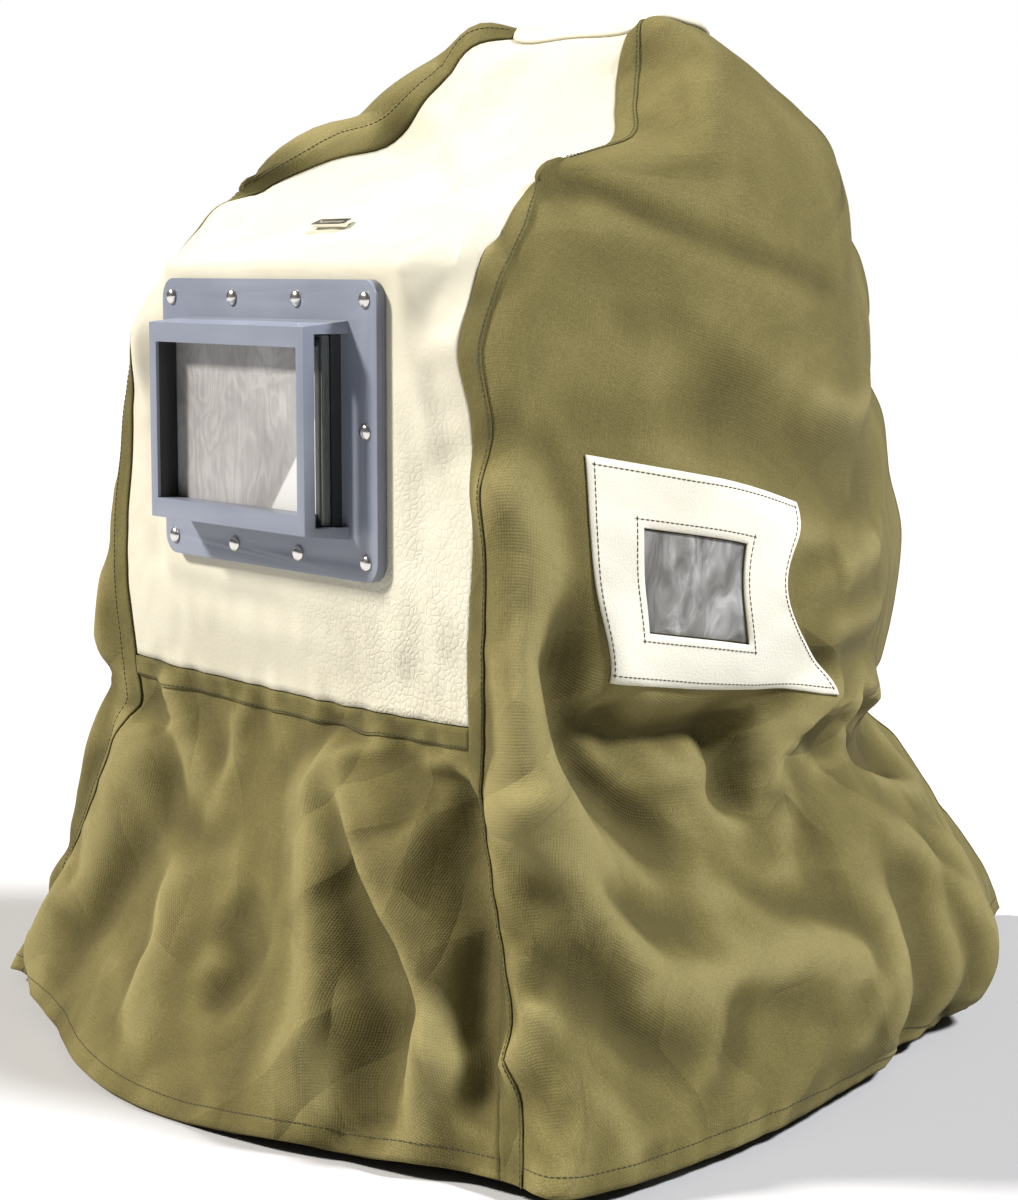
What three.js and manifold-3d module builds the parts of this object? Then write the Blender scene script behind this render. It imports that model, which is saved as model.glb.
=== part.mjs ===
import * as THREE from 'three';
import Module from 'manifold-3d';

// Millimetres. The origin is the crown's underside, where a head carries it. The window faces -Y,
// +Z is up and +X is the wearer's left.
const shellHalfWidth = 220;
const shellDepth = 550;
const shellHeight = 470;

const canvasThickness = 1.5;
const leatherThickness = 2.0;
const stripThickness = 1.2;
const clearThickness = 1.0;
const clothGap = 0.3;
const edgeGap = 0.25;
const stripWidth = 11;

const frameWidth = 170;
const frameHeight = 126;
const frameThickness = 4.7;
const frameCornerRadius = 9;
const frameDrop = 185;
const seatMargin = 16;

const housingWidth = 129;
const housingHeight = 92;
const housingDepth = 21;
const housingDraft = 2.4;
const housingFrontThickness = 5;
const housingWall = 4.5;
const apertureWidth = 113;
const apertureHeight = 70;

const lensThickness = 4;
const lensHeight = 80;
const lensGap = 0.5;
const lensLap = 3;
const lensSetback = 11;
const lipHeight = 1.2;
const lipWidth = 2.2;

const rivetInset = 8.2;
const rivetHeadRadius = 3.6;
const rivetHeadHeight = 2.0;
const rivetShankRadius = 1.6;
const rivetClearance = 0.25;

const eyeletLength = 28;
const eyeletHeight = 7;
const eyeletSlotLength = 21;
const eyeletSlotHeight = 2.4;
const eyeletThickness = 1.8;

const canvas = { color: 0x7d7547, roughness: 0.9, metalness: 0 };
const canvasDark = { color: 0x6f683e, roughness: 0.9, metalness: 0 };
const leather = { color: 0xefe8cc, roughness: 0.6, metalness: 0 };
const patchWhite = { color: 0xf1ecd6, roughness: 0.6, metalness: 0 };
const greyPlastic = { color: 0x7e869b, roughness: 0.42, metalness: 0 };
const clearPlastic = { color: 0xb9bcc0, roughness: 0.25, metalness: 0 };
const glass = { color: 0x9aa79f, roughness: 0.08, metalness: 0 };
const brightMetal = { color: 0xd9d9dc, roughness: 0.2, metalness: 1 };

// Level curves of the shell from the crown down. x is a share of shellHalfWidth, y of shellDepth,
// z of shellHeight. Columns: front y z, seam x y z, shoulder x y z.
const frontSections = [
  [ -.047,  -.019,   .186,  -.049,  -.017,   .205,  -.036,  -.011], // crown edge
  [ -.095,  -.034,   .241,  -.085,  -.032,   .273,  -.075,  -.015], // top 1
  [ -.120,  -.066,   .259,  -.100,  -.068,   .314,  -.089,  -.062], // top 2
  [ -.145,  -.102,   .318,  -.122,  -.100,   .382,  -.113,  -.095], // top 3
  [ -.178,  -.136,   .400,  -.156,  -.136,   .464,  -.147,  -.130], // top 4
  [ -.218,  -.160,   .482,  -.243,  -.162,   .509,  -.251,  -.153], // brow
  [ -.265,  -.183,   .505,  -.278,  -.189,   .545,  -.269,  -.187], // brow 2
  [ -.311,  -.211,   .523,  -.305,  -.226,   .582,  -.291,  -.228], // forehead
  [ -.358,  -.249,   .545,  -.335,  -.272,   .614,  -.316,  -.274], // visor top
  [ -.369,  -.309,   .568,  -.356,  -.321,   .645,  -.335,  -.326], // visor 1
  [ -.369,  -.372,   .605,  -.356,  -.377,   .682,  -.342,  -.383], // visor 2
  [ -.369,  -.436,   .618,  -.356,  -.440,   .709,  -.347,  -.447], // visor 3
  [ -.369,  -.500,   .623,  -.360,  -.504,   .727,  -.353,  -.509], // visor 4
  [ -.365,  -.564,   .618,  -.362,  -.568,   .745,  -.356,  -.572], // visor base
  [ -.349,  -.653,   .605,  -.358,  -.645,   .764,  -.360,  -.640], // bib top
  [ -.356,  -.713,   .600,  -.355,  -.704,   .777,  -.364,  -.704], // neck
  [ -.382,  -.798,   .664,  -.367,  -.785,   .818,  -.369,  -.789], // cape 1
  [ -.418,  -.874,   .741,  -.378,  -.866,   .873,  -.376,  -.868], // cape 2
  [ -.471,  -.950,   .818,  -.396,  -.943,   .945,  -.386,  -.945], // cape 3
  [ -.515, -1.012,   .873,  -.413, -1.002,  1.005,  -.402, -1.004], // hem
];
// The same levels further round. Columns: side x y z, rear quarter x y z, back seam y z.
const rearSections = [
  [  .214,  -.011,  -.011,   .141,   .029,  -.011,   .073,  -.021], // crown edge
  [  .318,  -.036,  -.023,   .191,   .047,  -.036,   .116,  -.040], // top 1
  [  .436,  -.065,  -.053,   .309,   .055,  -.070,   .160,  -.060], // top 2
  [  .523,  -.093,  -.089,   .400,   .058,  -.109,   .200,  -.081], // top 3
  [  .595,  -.116,  -.132,   .468,   .058,  -.153,   .240,  -.111], // top 4
  [  .650,  -.138,  -.177,   .514,   .056,  -.202,   .256,  -.147], // brow
  [  .686,  -.153,  -.226,   .541,   .053,  -.253,   .251,  -.185], // brow 2
  [  .714,  -.162,  -.272,   .568,   .049,  -.304,   .287,  -.240], // forehead
  [  .741,  -.169,  -.317,   .591,   .047,  -.355,   .300,  -.296], // visor top
  [  .764,  -.175,  -.366,   .600,   .047,  -.411,   .289,  -.351], // visor 1
  [  .782,  -.178,  -.421,   .618,   .047,  -.470,   .320,  -.411], // visor 2
  [  .791,  -.182,  -.479,   .636,   .045,  -.530,   .331,  -.479], // visor 3
  [  .786,  -.185,  -.543,   .623,   .044,  -.585,   .349,  -.543], // visor 4
  [  .768,  -.189,  -.606,   .595,   .042,  -.632,   .342,  -.617], // visor base
  [  .736,  -.189,  -.662,   .564,   .047,  -.666,   .324,  -.687], // bib top
  [  .736,  -.189,  -.713,   .564,   .058,  -.709,   .298,  -.734], // neck
  [  .800,  -.200,  -.794,   .627,   .087,  -.785,   .353,  -.789], // cape 1
  [  .882,  -.211,  -.870,   .700,   .109,  -.866,   .415,  -.874], // cape 2
  [  .955,  -.225,  -.943,   .745,   .120,  -.943,   .476,  -.951], // cape 3
  [  .995,  -.240, -1.004,   .691,   .098, -1.004,   .502, -1.009], // hem
];
// Where the stations sit round one half of a level: 0 is the front centre, 4 the back seam.
const stationTurns = [0, 1, 1.35, 2, 3, 4];

// Folds and dents. path holds [turn, level] points, + turns on the wearer's left. width and depth
// are shares of shellHeight, a negative depth is a hollow, sharp runs from 0 (soft) to 1 (creased).
const folds = [
  {
    path: [[1.5, 5.5], [1.95, 5.95], [2.5, 6.1], [2.95, 6.33]],
    width: 0.045, depth: -0.009, sharp: 1,
  },
  { path: [[1.8, 8.6], [2.2, 9.3], [2.8, 9.7], [3.6, 9.8]], width: 0.075, depth: -0.017, sharp: 0 },
  { path: [[2.7, 11.2], [2.85, 10.9], [3.2, 10.7]], width: 0.04, depth: 0.009, sharp: 1 },
  {
    path: [[1.05, 10.2], [1.3, 10.9], [1.42, 11.8], [1.4, 13.6], [1.45, 14.8], [1.8, 16]],
    width: 0.05, depth: 0.021, sharp: 0.3,
  },
  {
    path: [[1.52, 11.7], [1.56, 13.4], [1.66, 14.3], [1.82, 15.1], [2.05, 15.8]],
    width: 0.062, depth: -0.036, sharp: 0.4,
  },
  {
    path: [[1.66, 13.5], [1.8, 14], [2.02, 14.1], [2.32, 13.8]],
    width: 0.04, depth: -0.019, sharp: 0.4,
  },
  { path: [[2.2, 13.7], [2.23, 14.7], [2.18, 15.5]], width: 0.042, depth: -0.024, sharp: 0.2 },
  {
    path: [[3.9, 14.7], [3.2, 14.2], [2.7, 13.8], [2.42, 14.6], [2.25, 15.6]],
    width: 0.05, depth: 0.02, sharp: 0.4,
  },
  { path: [[3.8, 15.8], [3.3, 15.3], [2.95, 14.6]], width: 0.055, depth: -0.026, sharp: 0.2 },
  {
    path: [[1.2, 14.2], [1.35, 15.2], [1.52, 15.8], [1.66, 16.5], [1.86, 17], [2.3, 17.1]],
    width: 0.06, depth: 0.022, sharp: 0.4,
  },
  {
    path: [[1.9, 15.9], [2.12, 16.6], [2.3, 17], [2.65, 17.6]],
    width: 0.056, depth: 0.017, sharp: 0.5,
  },
  { path: [[3.3, 16.2], [3.2, 17.6], [3.15, 19.2]], width: 0.075, depth: 0.02, sharp: 0 },
  { path: [[2.9, 16.2], [2.85, 17.6], [2.8, 19.2]], width: 0.07, depth: -0.018, sharp: 0 },
  { path: [[1.02, 17.7], [1.2, 17.4], [1.4, 16.8]], width: 0.034, depth: 0.011, sharp: 1 },
  {
    path: [[0.24, 14.2], [0.36, 16], [0.44, 17.25], [0.52, 19.3]],
    width: 0.095, depth: 0.034, sharp: 0.9,
  },
  {
    path: [[0.28, 14.2], [0.6, 16], [0.78, 17.1], [0.78, 17.6], [0.68, 18.7]],
    width: 0.06, depth: 0.032, sharp: 0.9,
  },
  {
    path: [[-0.45, 16.3], [-0.22, 17.2], [-0.15, 17.8], [0, 18.6]],
    width: 0.05, depth: 0.015, sharp: 0.7,
  },
  { path: [[-0.1, 16.6], [0.09, 17.1], [0.05, 17.8]], width: 0.045, depth: -0.014, sharp: 0.3 },
  { path: [[-0.8, 13.9], [-0.61, 15.1], [-0.32, 15.8]], width: 0.042, depth: 0.012, sharp: 0.6 },
  {
    path: [[-0.88, 14.7], [-0.84, 16], [-0.84, 17.6], [-0.86, 19.6]],
    width: 0.085, depth: 0.036, sharp: 0,
  },
  { path: [[0.9, 14.7], [0.92, 16], [0.93, 17.8]], width: 0.045, depth: -0.018, sharp: 0.2 },
  { path: [[0.6, 8.2], [0.75, 7.4], [0.98, 6.8]], width: 0.072, depth: 0.015, sharp: 0.2 },
  { path: [[-1.5, 6.3], [-2.1, 6.7], [-2.9, 6.5]], width: 0.045, depth: -0.009, sharp: 1 },
  { path: [[-1.9, 9.2], [-2.6, 9.8], [-3.5, 9.5]], width: 0.075, depth: -0.017, sharp: 0 },
  { path: [[-1.32, 13.9], [-1.6, 15.2], [-1.9, 17]], width: 0.07, depth: -0.026, sharp: 0.2 },
  {
    path: [[-3.9, 14.6], [-3.1, 14.1], [-2.5, 14.7], [-2.2, 16]],
    width: 0.052, depth: 0.019, sharp: 0.4,
  },
  { path: [[-2.55, 15.4], [-2.7, 17], [-2.8, 19.2]], width: 0.066, depth: 0.02, sharp: 0.2 },
  { path: [[-3.25, 15.4], [-3.3, 17.2], [-3.2, 19.2]], width: 0.075, depth: -0.022, sharp: 0 },
  { path: [[-1.52, 0.7], [-1.5, 2.2], [-1.46, 3.7], [-1.42, 5.3]], width: 0.095, depth: 0.038, sharp: 0 },
  { path: [[-0.86, 4.6], [-0.86, 6.3], [-0.87, 8.2], [-0.88, 10.2]], width: 0.055, depth: 0.016, sharp: 0 },
];

// Grid lines that the soft pieces share. Turns run over one half, levels down the whole shell.
const faceTurns = [0, 0.13, 0.26, 0.4, 0.54, 0.67, 0.83];
const stripTurn = 1.2;
const sideTurns = [1.35, 1.48, 1.6, 1.76, 1.95, 2.15, 2.28, 2.42, 2.57, 2.72, 2.87];
const rearTurns = [3.0, 3.13, 3.27, 3.41, 3.55, 3.69, 3.83];
const backStripTurn = 3.945;
const halfTurns = [...faceTurns, 1, stripTurn, ...sideTurns, ...rearTurns, backStripTurn, 4];
const crownEdgeLevel = 0.35;
const patchTopLevel = 10.2;
const clearTopLevel = 11.1;
const clearBottomLevel = 12.5;
const patchBottomLevel = 13.25;
const faceBottomLevel = 14.0;
const bibStripBottomLevel = 14.33;
const hemTopLevel = 18.7;
const hemLevel = 19;
const faceHole = { turn: 0.4, top: 9.1, bottom: 11.6 };
const eyeletLevel = 7.3;
const levels = [
  0, crownEdgeLevel, 1.0, 1.7, 2.4, 3.1, 3.8, 4.5, 5.2, 5.9, 6.6, eyeletLevel, 8.0,
  faceHole.top, 9.65, patchTopLevel, clearTopLevel, faceHole.bottom, clearBottomLevel,
  patchBottomLevel, 13.65, faceBottomLevel, bibStripBottomLevel,
  14.9, 15.45, 16.0, 16.55, 17.1, 17.65, 18.2, hemTopLevel, hemLevel,
];
const crownRings = [0.5];
const patchOuter = [1.6, 2.42];
const patchInner = [1.76, 2.15];

// How far the patch's front and rear edges lean from their turn at three levels.
const patchLean = [
  { level: 9.65, front: 0, rear: 0 },
  { level: 10.2, front: 0, rear: 0.02 },
  { level: 11.6, front: 0.02, rear: -0.06 },
  { level: 13.25, front: 0.1, rear: 0.3 },
  { level: 14.8, front: 0, rear: 0 },
];

const clamp = (v, lo, hi) => Math.min(Math.max(v, lo), hi);
const smooth = (t) => {
  const c = clamp(t, 0, 1);
  return c * c * (3 - 2 * c);
};

// A curve through values at uneven stations, with slopes shared between neighbours.
function through(stations, values, at, startSlope) {
  const last = stations.length - 1;
  const slope = (i) => {
    if (i === 0) {
      const d = (values[1] - values[0]) / (stations[1] - stations[0]);
      return startSlope === undefined ? d : startSlope;
    }
    if (i === last) {
      return (values[last] - values[last - 1]) / (stations[last] - stations[last - 1]);
    }
    const before = stations[i] - stations[i - 1];
    const after = stations[i + 1] - stations[i];
    const slopeBefore = (values[i] - values[i - 1]) / before;
    const slopeAfter = (values[i + 1] - values[i]) / after;
    return (slopeBefore * after + slopeAfter * before) / (before + after);
  };
  let i = 0;
  while (i < last - 1 && at >= stations[i + 1]) {
    i += 1;
  }
  const span = stations[i + 1] - stations[i];
  const t = (at - stations[i]) / span;
  const t2 = t * t;
  const t3 = t2 * t;
  return (2 * t3 - 3 * t2 + 1) * values[i] + (t3 - 2 * t2 + t) * span * slope(i)
    + (3 * t2 - 2 * t3) * values[i + 1] + (t3 - t2) * span * slope(i + 1);
}

const sections = frontSections.map((front, k) => {
  const rear = rearSections[k];
  return [
    [0, front[0], front[1]], [front[2], front[3], front[4]], [front[5], front[6], front[7]],
    [rear[0], rear[1], rear[2]], [rear[3], rear[4], rear[5]], [0, rear[6], rear[7]],
  ];
});
const sectionLevels = sections.map((_, k) => k);
const lastLevel = sections.length - 1;
const sizes = [shellHalfWidth, shellDepth, shellHeight];
const seatY = frontSections[11][0] * shellDepth;
const frameZ = -frameDrop;

// The six station points of one level, in millimetres.
function stationsAt(level) {
  return stationTurns.map((_, station) => [0, 1, 2].map((axis) => {
    const column = sections.map((section) => section[station][axis]);
    return through(sectionLevels, column, clamp(level, 0, lastLevel)) * sizes[axis];
  }));
}

// The shell without folds. Turns run -4..4, the sign picks the side.
function smoothShell(turn, level, stations = stationsAt(level)) {
  const sign = turn < 0 ? -1 : 1;
  const frontRun = (stations[1][0] - stations[0][0]) * 1.15;
  const [x, y, z] = [0, 1, 2].map((axis) => {
    const column = stations.map((p) => p[axis]);
    return through(stationTurns, column, Math.abs(turn), axis === 0 ? frontRun : 0);
  });
  const outX = Math.max(Math.abs(x) - frameWidth / 2 - 6, 0);
  const outZ = Math.max(Math.abs(z - frameZ) - frameHeight / 2 - 5, 0);
  const held = Math.abs(turn) <= 1 ? smooth(1 - Math.hypot(outX, outZ) / seatMargin) : 0;
  return new THREE.Vector3(x * sign, y + (seatY - y) * held, z);
}

function shellNormal(turn, level) {
  const step = 0.04;
  const side = turn < 0 ? -1 : 1;
  const a = clamp(Math.abs(turn) - step, 0, 4) * side;
  const b = clamp(Math.abs(turn) + step, 0, 4) * side;
  const along = smoothShell(b, level).sub(smoothShell(a, level)).multiplyScalar(side);
  const low = clamp(level + step, 0, lastLevel);
  const high = clamp(level - step, 0, lastLevel);
  const up = smoothShell(turn, high).sub(smoothShell(turn, low));
  return along.cross(up).normalize();
}

// Each fold's path laid on the shell, as short straight steps.
const foldPaths = folds.map((fold) => {
  const points = [];
  const knots = fold.path.map((_, i) => i);
  const steps = (knots.length - 1) * 6;
  for (let i = 0; i <= steps; i += 1) {
    const at = i / 6;
    const turn = through(knots, fold.path.map((p) => p[0]), at);
    const level = through(knots, fold.path.map((p) => p[1]), at);
    points.push(smoothShell(turn, level));
  }
  return { ...fold, points };
});

function foldHeight(point) {
  let height = 0;
  for (const fold of foldPaths) {
    const reach = fold.width * shellHeight;
    let best = Infinity;
    let along = 0;
    for (let i = 0; i < fold.points.length - 1; i += 1) {
      const a = fold.points[i];
      const step = fold.points[i + 1].clone().sub(a);
      const t = clamp(point.clone().sub(a).dot(step) / step.lengthSq(), 0, 1);
      const distance = a.clone().addScaledVector(step, t).distanceTo(point);
      if (distance < best) {
        best = distance;
        along = (i + t) / (fold.points.length - 1);
      }
    }
    if (best < reach) {
      const x = best / reach;
      const soft = (1 - x * x) ** 2;
      const creased = (1 - x) ** 1.5;
      const ends = smooth(along / 0.22) * smooth((1 - along) / 0.22);
      height += fold.depth * shellHeight * (soft + (creased - soft) * fold.sharp) * ends;
    }
  }
  return height;
}

// The folds die away under the window frame's flange.
function shellPoint(turn, level) {
  const base = smoothShell(turn, level);
  const outX = Math.max(Math.abs(base.x) - frameWidth / 2 - 4, 0);
  const outZ = Math.max(Math.abs(base.z - frameZ) - frameHeight / 2 - 4, 0);
  const free = Math.abs(turn) <= 1 ? smooth(Math.hypot(outX, outZ) / 20) : 1;
  const height = foldHeight(base) * free;
  return base.addScaledVector(shellNormal(turn, level), height);
}

// The turn a grid line really follows at a level: strips keep their width, patch edges lean.
function turnAt(turn, level) {
  if (turn === stripTurn) {
    const stations = stationsAt(level);
    const run = Math.hypot(...stations[2].map((v, axis) => v - stations[1][axis]));
    return 1 + 0.35 * Math.min(stripWidth / run, 0.8);
  }
  if (turn <= 1.35 || turn >= 3) {
    return turn;
  }
  const rows = patchLean.map((row) => row.level);
  const inside = level > rows[0] && level < rows[rows.length - 1];
  const front = inside ? through(rows, patchLean.map((row) => row.front), level) : 0;
  const rear = inside ? through(rows, patchLean.map((row) => row.rear), level) : 0;
  const frontWeight = clamp(Math.min((turn - 1.35) / 0.25, (1.95 - turn) / 0.35), 0, 1);
  const rearWeight = clamp(Math.min((turn - 2.02) / 0.4, (3.0 - turn) / 0.58), 0, 1);
  return turn + front * frontWeight + rear * rearWeight;
}

// The shared grid. Column 0 is the back seam, columns run forward up the wearer's right side,
// across the front and back along the left side to the back seam again.
const turns = [...halfTurns.slice(1).reverse().map((turn) => -turn), ...halfTurns].slice(0, -1);
const columnCount = turns.length;
const rowCount = levels.length;
const crownCentre = new THREE.Vector3(0, 0, -clothGap);

const shellGrid = [];
for (const share of crownRings.slice().reverse()) {
  shellGrid.unshift(turns.map((turn) => {
    const edge = shellPoint(turn, 0);
    const rise = crownCentre.clone().lerp(edge, share);
    rise.z += (crownCentre.z - edge.z) * share * (1 - share) * 0.9;
    return rise;
  }));
}
for (const level of levels) {
  shellGrid.push(turns.map((turn) => {
    const side = turn < 0 ? -1 : 1;
    return shellPoint(turnAt(Math.abs(turn), level) * side, level);
  }));
}
const firstLevel = crownRings.length;
const columnOf = (turn) => turns.findIndex((t) => Math.abs(t - turn) < 1e-9);
const rowOf = (level) => firstLevel + levels.findIndex((l) => Math.abs(l - level) < 1e-9);
const wrap = (column) => (column + columnCount) % columnCount;

// One outward direction per grid point, from the faces round it.
const shellNormals = shellGrid.map((row) => row.map(() => new THREE.Vector3()));
const crownNormal = new THREE.Vector3(0, 0, 1);
for (let r = 0; r < shellGrid.length - 1; r += 1) {
  for (let c = 0; c < columnCount; c += 1) {
    const corners = [[r, c], [r + 1, c], [r + 1, wrap(c + 1)], [r, wrap(c + 1)]];
    const [p, q, s, t] = corners.map(([i, j]) => shellGrid[i][j]);
    const face = s.clone().sub(p).cross(t.clone().sub(q)).normalize();
    corners.forEach(([i, j]) => shellNormals[i][j].add(face));
  }
}
shellNormals.forEach((row) => row.forEach((normal) => normal.normalize()));

// One closed sheet over the chosen cells, from `low` to `high` above the shell's outer face.
function sheet(name, material, low, high, picks, withCrown = false) {
  const key = (r, c) => `${r},${c}`;
  const cells = [];
  for (let r = 0; r < shellGrid.length - 1; r += 1) {
    for (let c = 0; c < columnCount; c += 1) {
      if (picks(r, c)) {
        cells.push([r, c]);
      }
    }
  }
  const chosen = new Set(cells.map(([r, c]) => key(r, c)));
  const index = new Map();
  const points = [];
  const place = (r, c) => {
    const id = key(r, c);
    if (index.has(id)) {
      return index.get(id);
    }
    const at = shellGrid[r][c];
    const around = [[r - 1, wrap(c - 1)], [r - 1, c], [r, wrap(c - 1)], [r, c]];
    const inside = around.filter(([i, j]) => chosen.has(key(i, j)) || (withCrown && i < 0));
    const spot = at.clone();
    if (inside.length < 4) {
      const target = new THREE.Vector3();
      inside.forEach(([i, j]) => {
        const cell = [[i, j], [i + 1, j], [i + 1, wrap(j + 1)], [i, wrap(j + 1)]];
        cell.forEach(([a, b]) => target.addScaledVector(shellGrid[a][b], 0.25 / inside.length));
      });
      const inward = target.sub(at);
      const reach = inside.length === 2 ? 1 : 1.5;
      spot.addScaledVector(inward, (edgeGap * reach) / inward.length());
    }
    const number = points.length / 2;
    points.push(spot.clone().addScaledVector(shellNormals[r][c], high));
    points.push(spot.clone().addScaledVector(shellNormals[r][c], low));
    index.set(id, number);
    return number;
  };
  const triangles = [];
  const outer = (n) => n * 2;
  const inner = (n) => n * 2 + 1;
  const wall = (a, b) => {
    triangles.push([outer(a), inner(a), inner(b)], [outer(a), inner(b), outer(b)]);
  };
  for (const [r, c] of cells) {
    const next = wrap(c + 1);
    const [a, b, d, e] = [place(r, c), place(r + 1, c), place(r + 1, next), place(r, next)];
    triangles.push([outer(a), outer(b), outer(d)], [outer(a), outer(d), outer(e)]);
    triangles.push([inner(a), inner(d), inner(b)], [inner(a), inner(e), inner(d)]);
    if (!chosen.has(key(r, wrap(c - 1)))) {
      wall(a, b);
    }
    if (!chosen.has(key(r + 1, c))) {
      wall(b, d);
    }
    if (!chosen.has(key(r, next))) {
      wall(d, e);
    }
    if (!chosen.has(key(r - 1, c)) && !(withCrown && r === 0)) {
      wall(e, a);
    }
  }
  if (withCrown) {
    const top = points.length;
    points.push(crownCentre.clone().addScaledVector(crownNormal, high));
    points.push(crownCentre.clone().addScaledVector(crownNormal, low));
    for (let c = 0; c < columnCount; c += 1) {
      const [a, e] = [place(0, c), place(0, wrap(c + 1))];
      triangles.push([top, outer(a), outer(e)], [top + 1, inner(e), inner(a)]);
    }
  }
  const geometry = new THREE.BufferGeometry();
  const flat = points.flatMap((p) => [p.x, p.y, p.z]);
  geometry.setAttribute('position', new THREE.Float32BufferAttribute(flat, 3));
  geometry.setIndex(triangles.flat());
  return solid(name, geometry, material);
}

function solid(name, geometry, material) {
  geometry.computeVertexNormals();
  const mesh = new THREE.Mesh(geometry, new THREE.MeshStandardMaterial(material));
  mesh.name = name;
  return mesh;
}

const kernel = await Module();
kernel.setup();

function toSolid(geometry) {
  const merged = new Map();
  const points = [];
  const source = geometry.attributes.position;
  const order = geometry.index ? Array.from(geometry.index.array) : [...Array(source.count).keys()];
  const corners = order.map((i) => {
    const p = [source.getX(i), source.getY(i), source.getZ(i)];
    const id = p.map((v) => Math.round(v * 1e4)).join(',');
    if (!merged.has(id)) {
      merged.set(id, points.length / 3);
      points.push(...p);
    }
    return merged.get(id);
  });
  const faces = [];
  for (let i = 0; i < corners.length; i += 3) {
    const [a, b, c] = corners.slice(i, i + 3);
    if (a !== b && b !== c && c !== a) {
      faces.push(a, b, c);
    }
  }
  return new kernel.Manifold(new kernel.Mesh({
    numProp: 3,
    vertProperties: new Float32Array(points),
    triVerts: new Uint32Array(faces),
  }));
}

function fromSolid(shape) {
  const mesh = shape.getMesh();
  const geometry = new THREE.BufferGeometry();
  geometry.setAttribute('position', new THREE.BufferAttribute(new Float32Array(mesh.vertProperties), 3));
  geometry.setIndex(Array.from(mesh.triVerts));
  return geometry;
}

// A box given by its low and high corners.
function block(low, high) {
  const size = high.map((v, i) => v - low[i]);
  const geometry = new THREE.BoxGeometry(...size);
  geometry.translate(...low.map((v, i) => v + size[i] / 2));
  return geometry;
}

function roundedRectangle(width, height, radius, shape) {
  const [w, h, r] = [width / 2, height / 2, radius];
  shape.moveTo(-w + r, -h);
  shape.lineTo(w - r, -h);
  shape.absarc(w - r, -h + r, r, -Math.PI / 2, 0, false);
  shape.lineTo(w, h - r);
  shape.absarc(w - r, h - r, r, 0, Math.PI / 2, false);
  shape.lineTo(-w + r, h);
  shape.absarc(-w + r, h - r, r, Math.PI / 2, Math.PI, false);
  shape.lineTo(-w, -h + r);
  shape.absarc(-w + r, -h + r, r, Math.PI, Math.PI * 1.5, false);
  return shape;
}

// The window frame stands on the leather, its flange's back face clothGap in front of it.
const flangeBack = seatY - clothGap;
const flangeFront = flangeBack - frameThickness;
const housingFront = flangeFront - housingDepth;
const mouthFront = housingFront + housingFrontThickness;
const slotFront = housingFront + lensSetback - lensGap;
const slotBack = housingFront + lensSetback + lensThickness + lensGap;
const slotHeight = lensHeight + 2 * lensGap;
const slotLeft = -(housingWidth / 2 - housingWall);

const rivetReachX = frameWidth / 2 - rivetInset;
const rivetReachZ = frameHeight / 2 - rivetInset;
const rivetSpots = [];
for (const row of [1, -1]) {
  for (const share of [-1, -1 / 3, 1 / 3, 1]) {
    rivetSpots.push([share * rivetReachX, row * rivetReachZ]);
  }
}
rivetSpots.push([-rivetReachX, 0], [rivetReachX, 0]);

function windowFrame() {
  const outline = roundedRectangle(frameWidth, frameHeight, frameCornerRadius, new THREE.Shape());
  rivetSpots.forEach(([x, z]) => {
    const hole = new THREE.Path();
    hole.absarc(x, z, rivetShankRadius + rivetClearance, 0, Math.PI * 2, true);
    outline.holes.push(hole);
  });
  const flange = new THREE.ExtrudeGeometry(outline, {
    depth: frameThickness, bevelEnabled: false, curveSegments: 5,
  });
  flange.rotateX(Math.PI / 2);
  flange.translate(0, flangeBack, frameZ);

  const box = new THREE.BoxGeometry(housingWidth, housingDepth + 1, housingHeight);
  box.translate(0, flangeFront - housingDepth / 2 + 0.5, 0);
  const position = box.attributes.position;
  for (let i = 0; i < position.count; i += 1) {
    if (position.getY(i) < flangeFront - 1) {
      position.setX(i, position.getX(i) - Math.sign(position.getX(i)) * housingDraft);
      position.setZ(i, position.getZ(i) - Math.sign(position.getZ(i)) * housingDraft);
    }
  }
  box.translate(0, 0, frameZ);

  const aperture = block(
    [-apertureWidth / 2, housingFront - 1, frameZ - apertureHeight / 2],
    [apertureWidth / 2, flangeBack + 1, frameZ + apertureHeight / 2],
  );
  const slot = block(
    [slotLeft, slotFront, frameZ - slotHeight / 2],
    [housingWidth / 2 + 1, slotBack, frameZ + slotHeight / 2],
  );
  const mouth = block(
    [apertureWidth / 2 - 1, mouthFront, frameZ - slotHeight / 2],
    [housingWidth / 2 + 1, slotBack, frameZ + slotHeight / 2],
  );
  const recess = block(
    [apertureWidth / 2 + lensLap, mouthFront, frameZ - slotHeight / 2],
    [housingWidth / 2 + 1, flangeFront, frameZ + slotHeight / 2],
  );
  const lip = block(
    [housingWidth / 2 - housingDraft - 2 * lipWidth, mouthFront - 1, frameZ - slotHeight * 0.36],
    [housingWidth / 2 - housingDraft - lipWidth, mouthFront + lipHeight, frameZ + slotHeight * 0.36],
  );
  const shape = toSolid(flange).add(toSolid(box))
    .subtract(toSolid(aperture)).subtract(toSolid(slot))
    .subtract(toSolid(mouth)).subtract(toSolid(recess))
    .add(toSolid(lip));
  return solid('window_frame', fromSolid(shape), greyPlastic);
}

function lens() {
  const back = slotBack - lensGap;
  return solid('lens', block(
    [slotLeft + lensGap, back - lensThickness, frameZ - lensHeight / 2],
    [apertureWidth / 2 + lensLap, back, frameZ + lensHeight / 2],
  ), glass);
}

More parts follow.
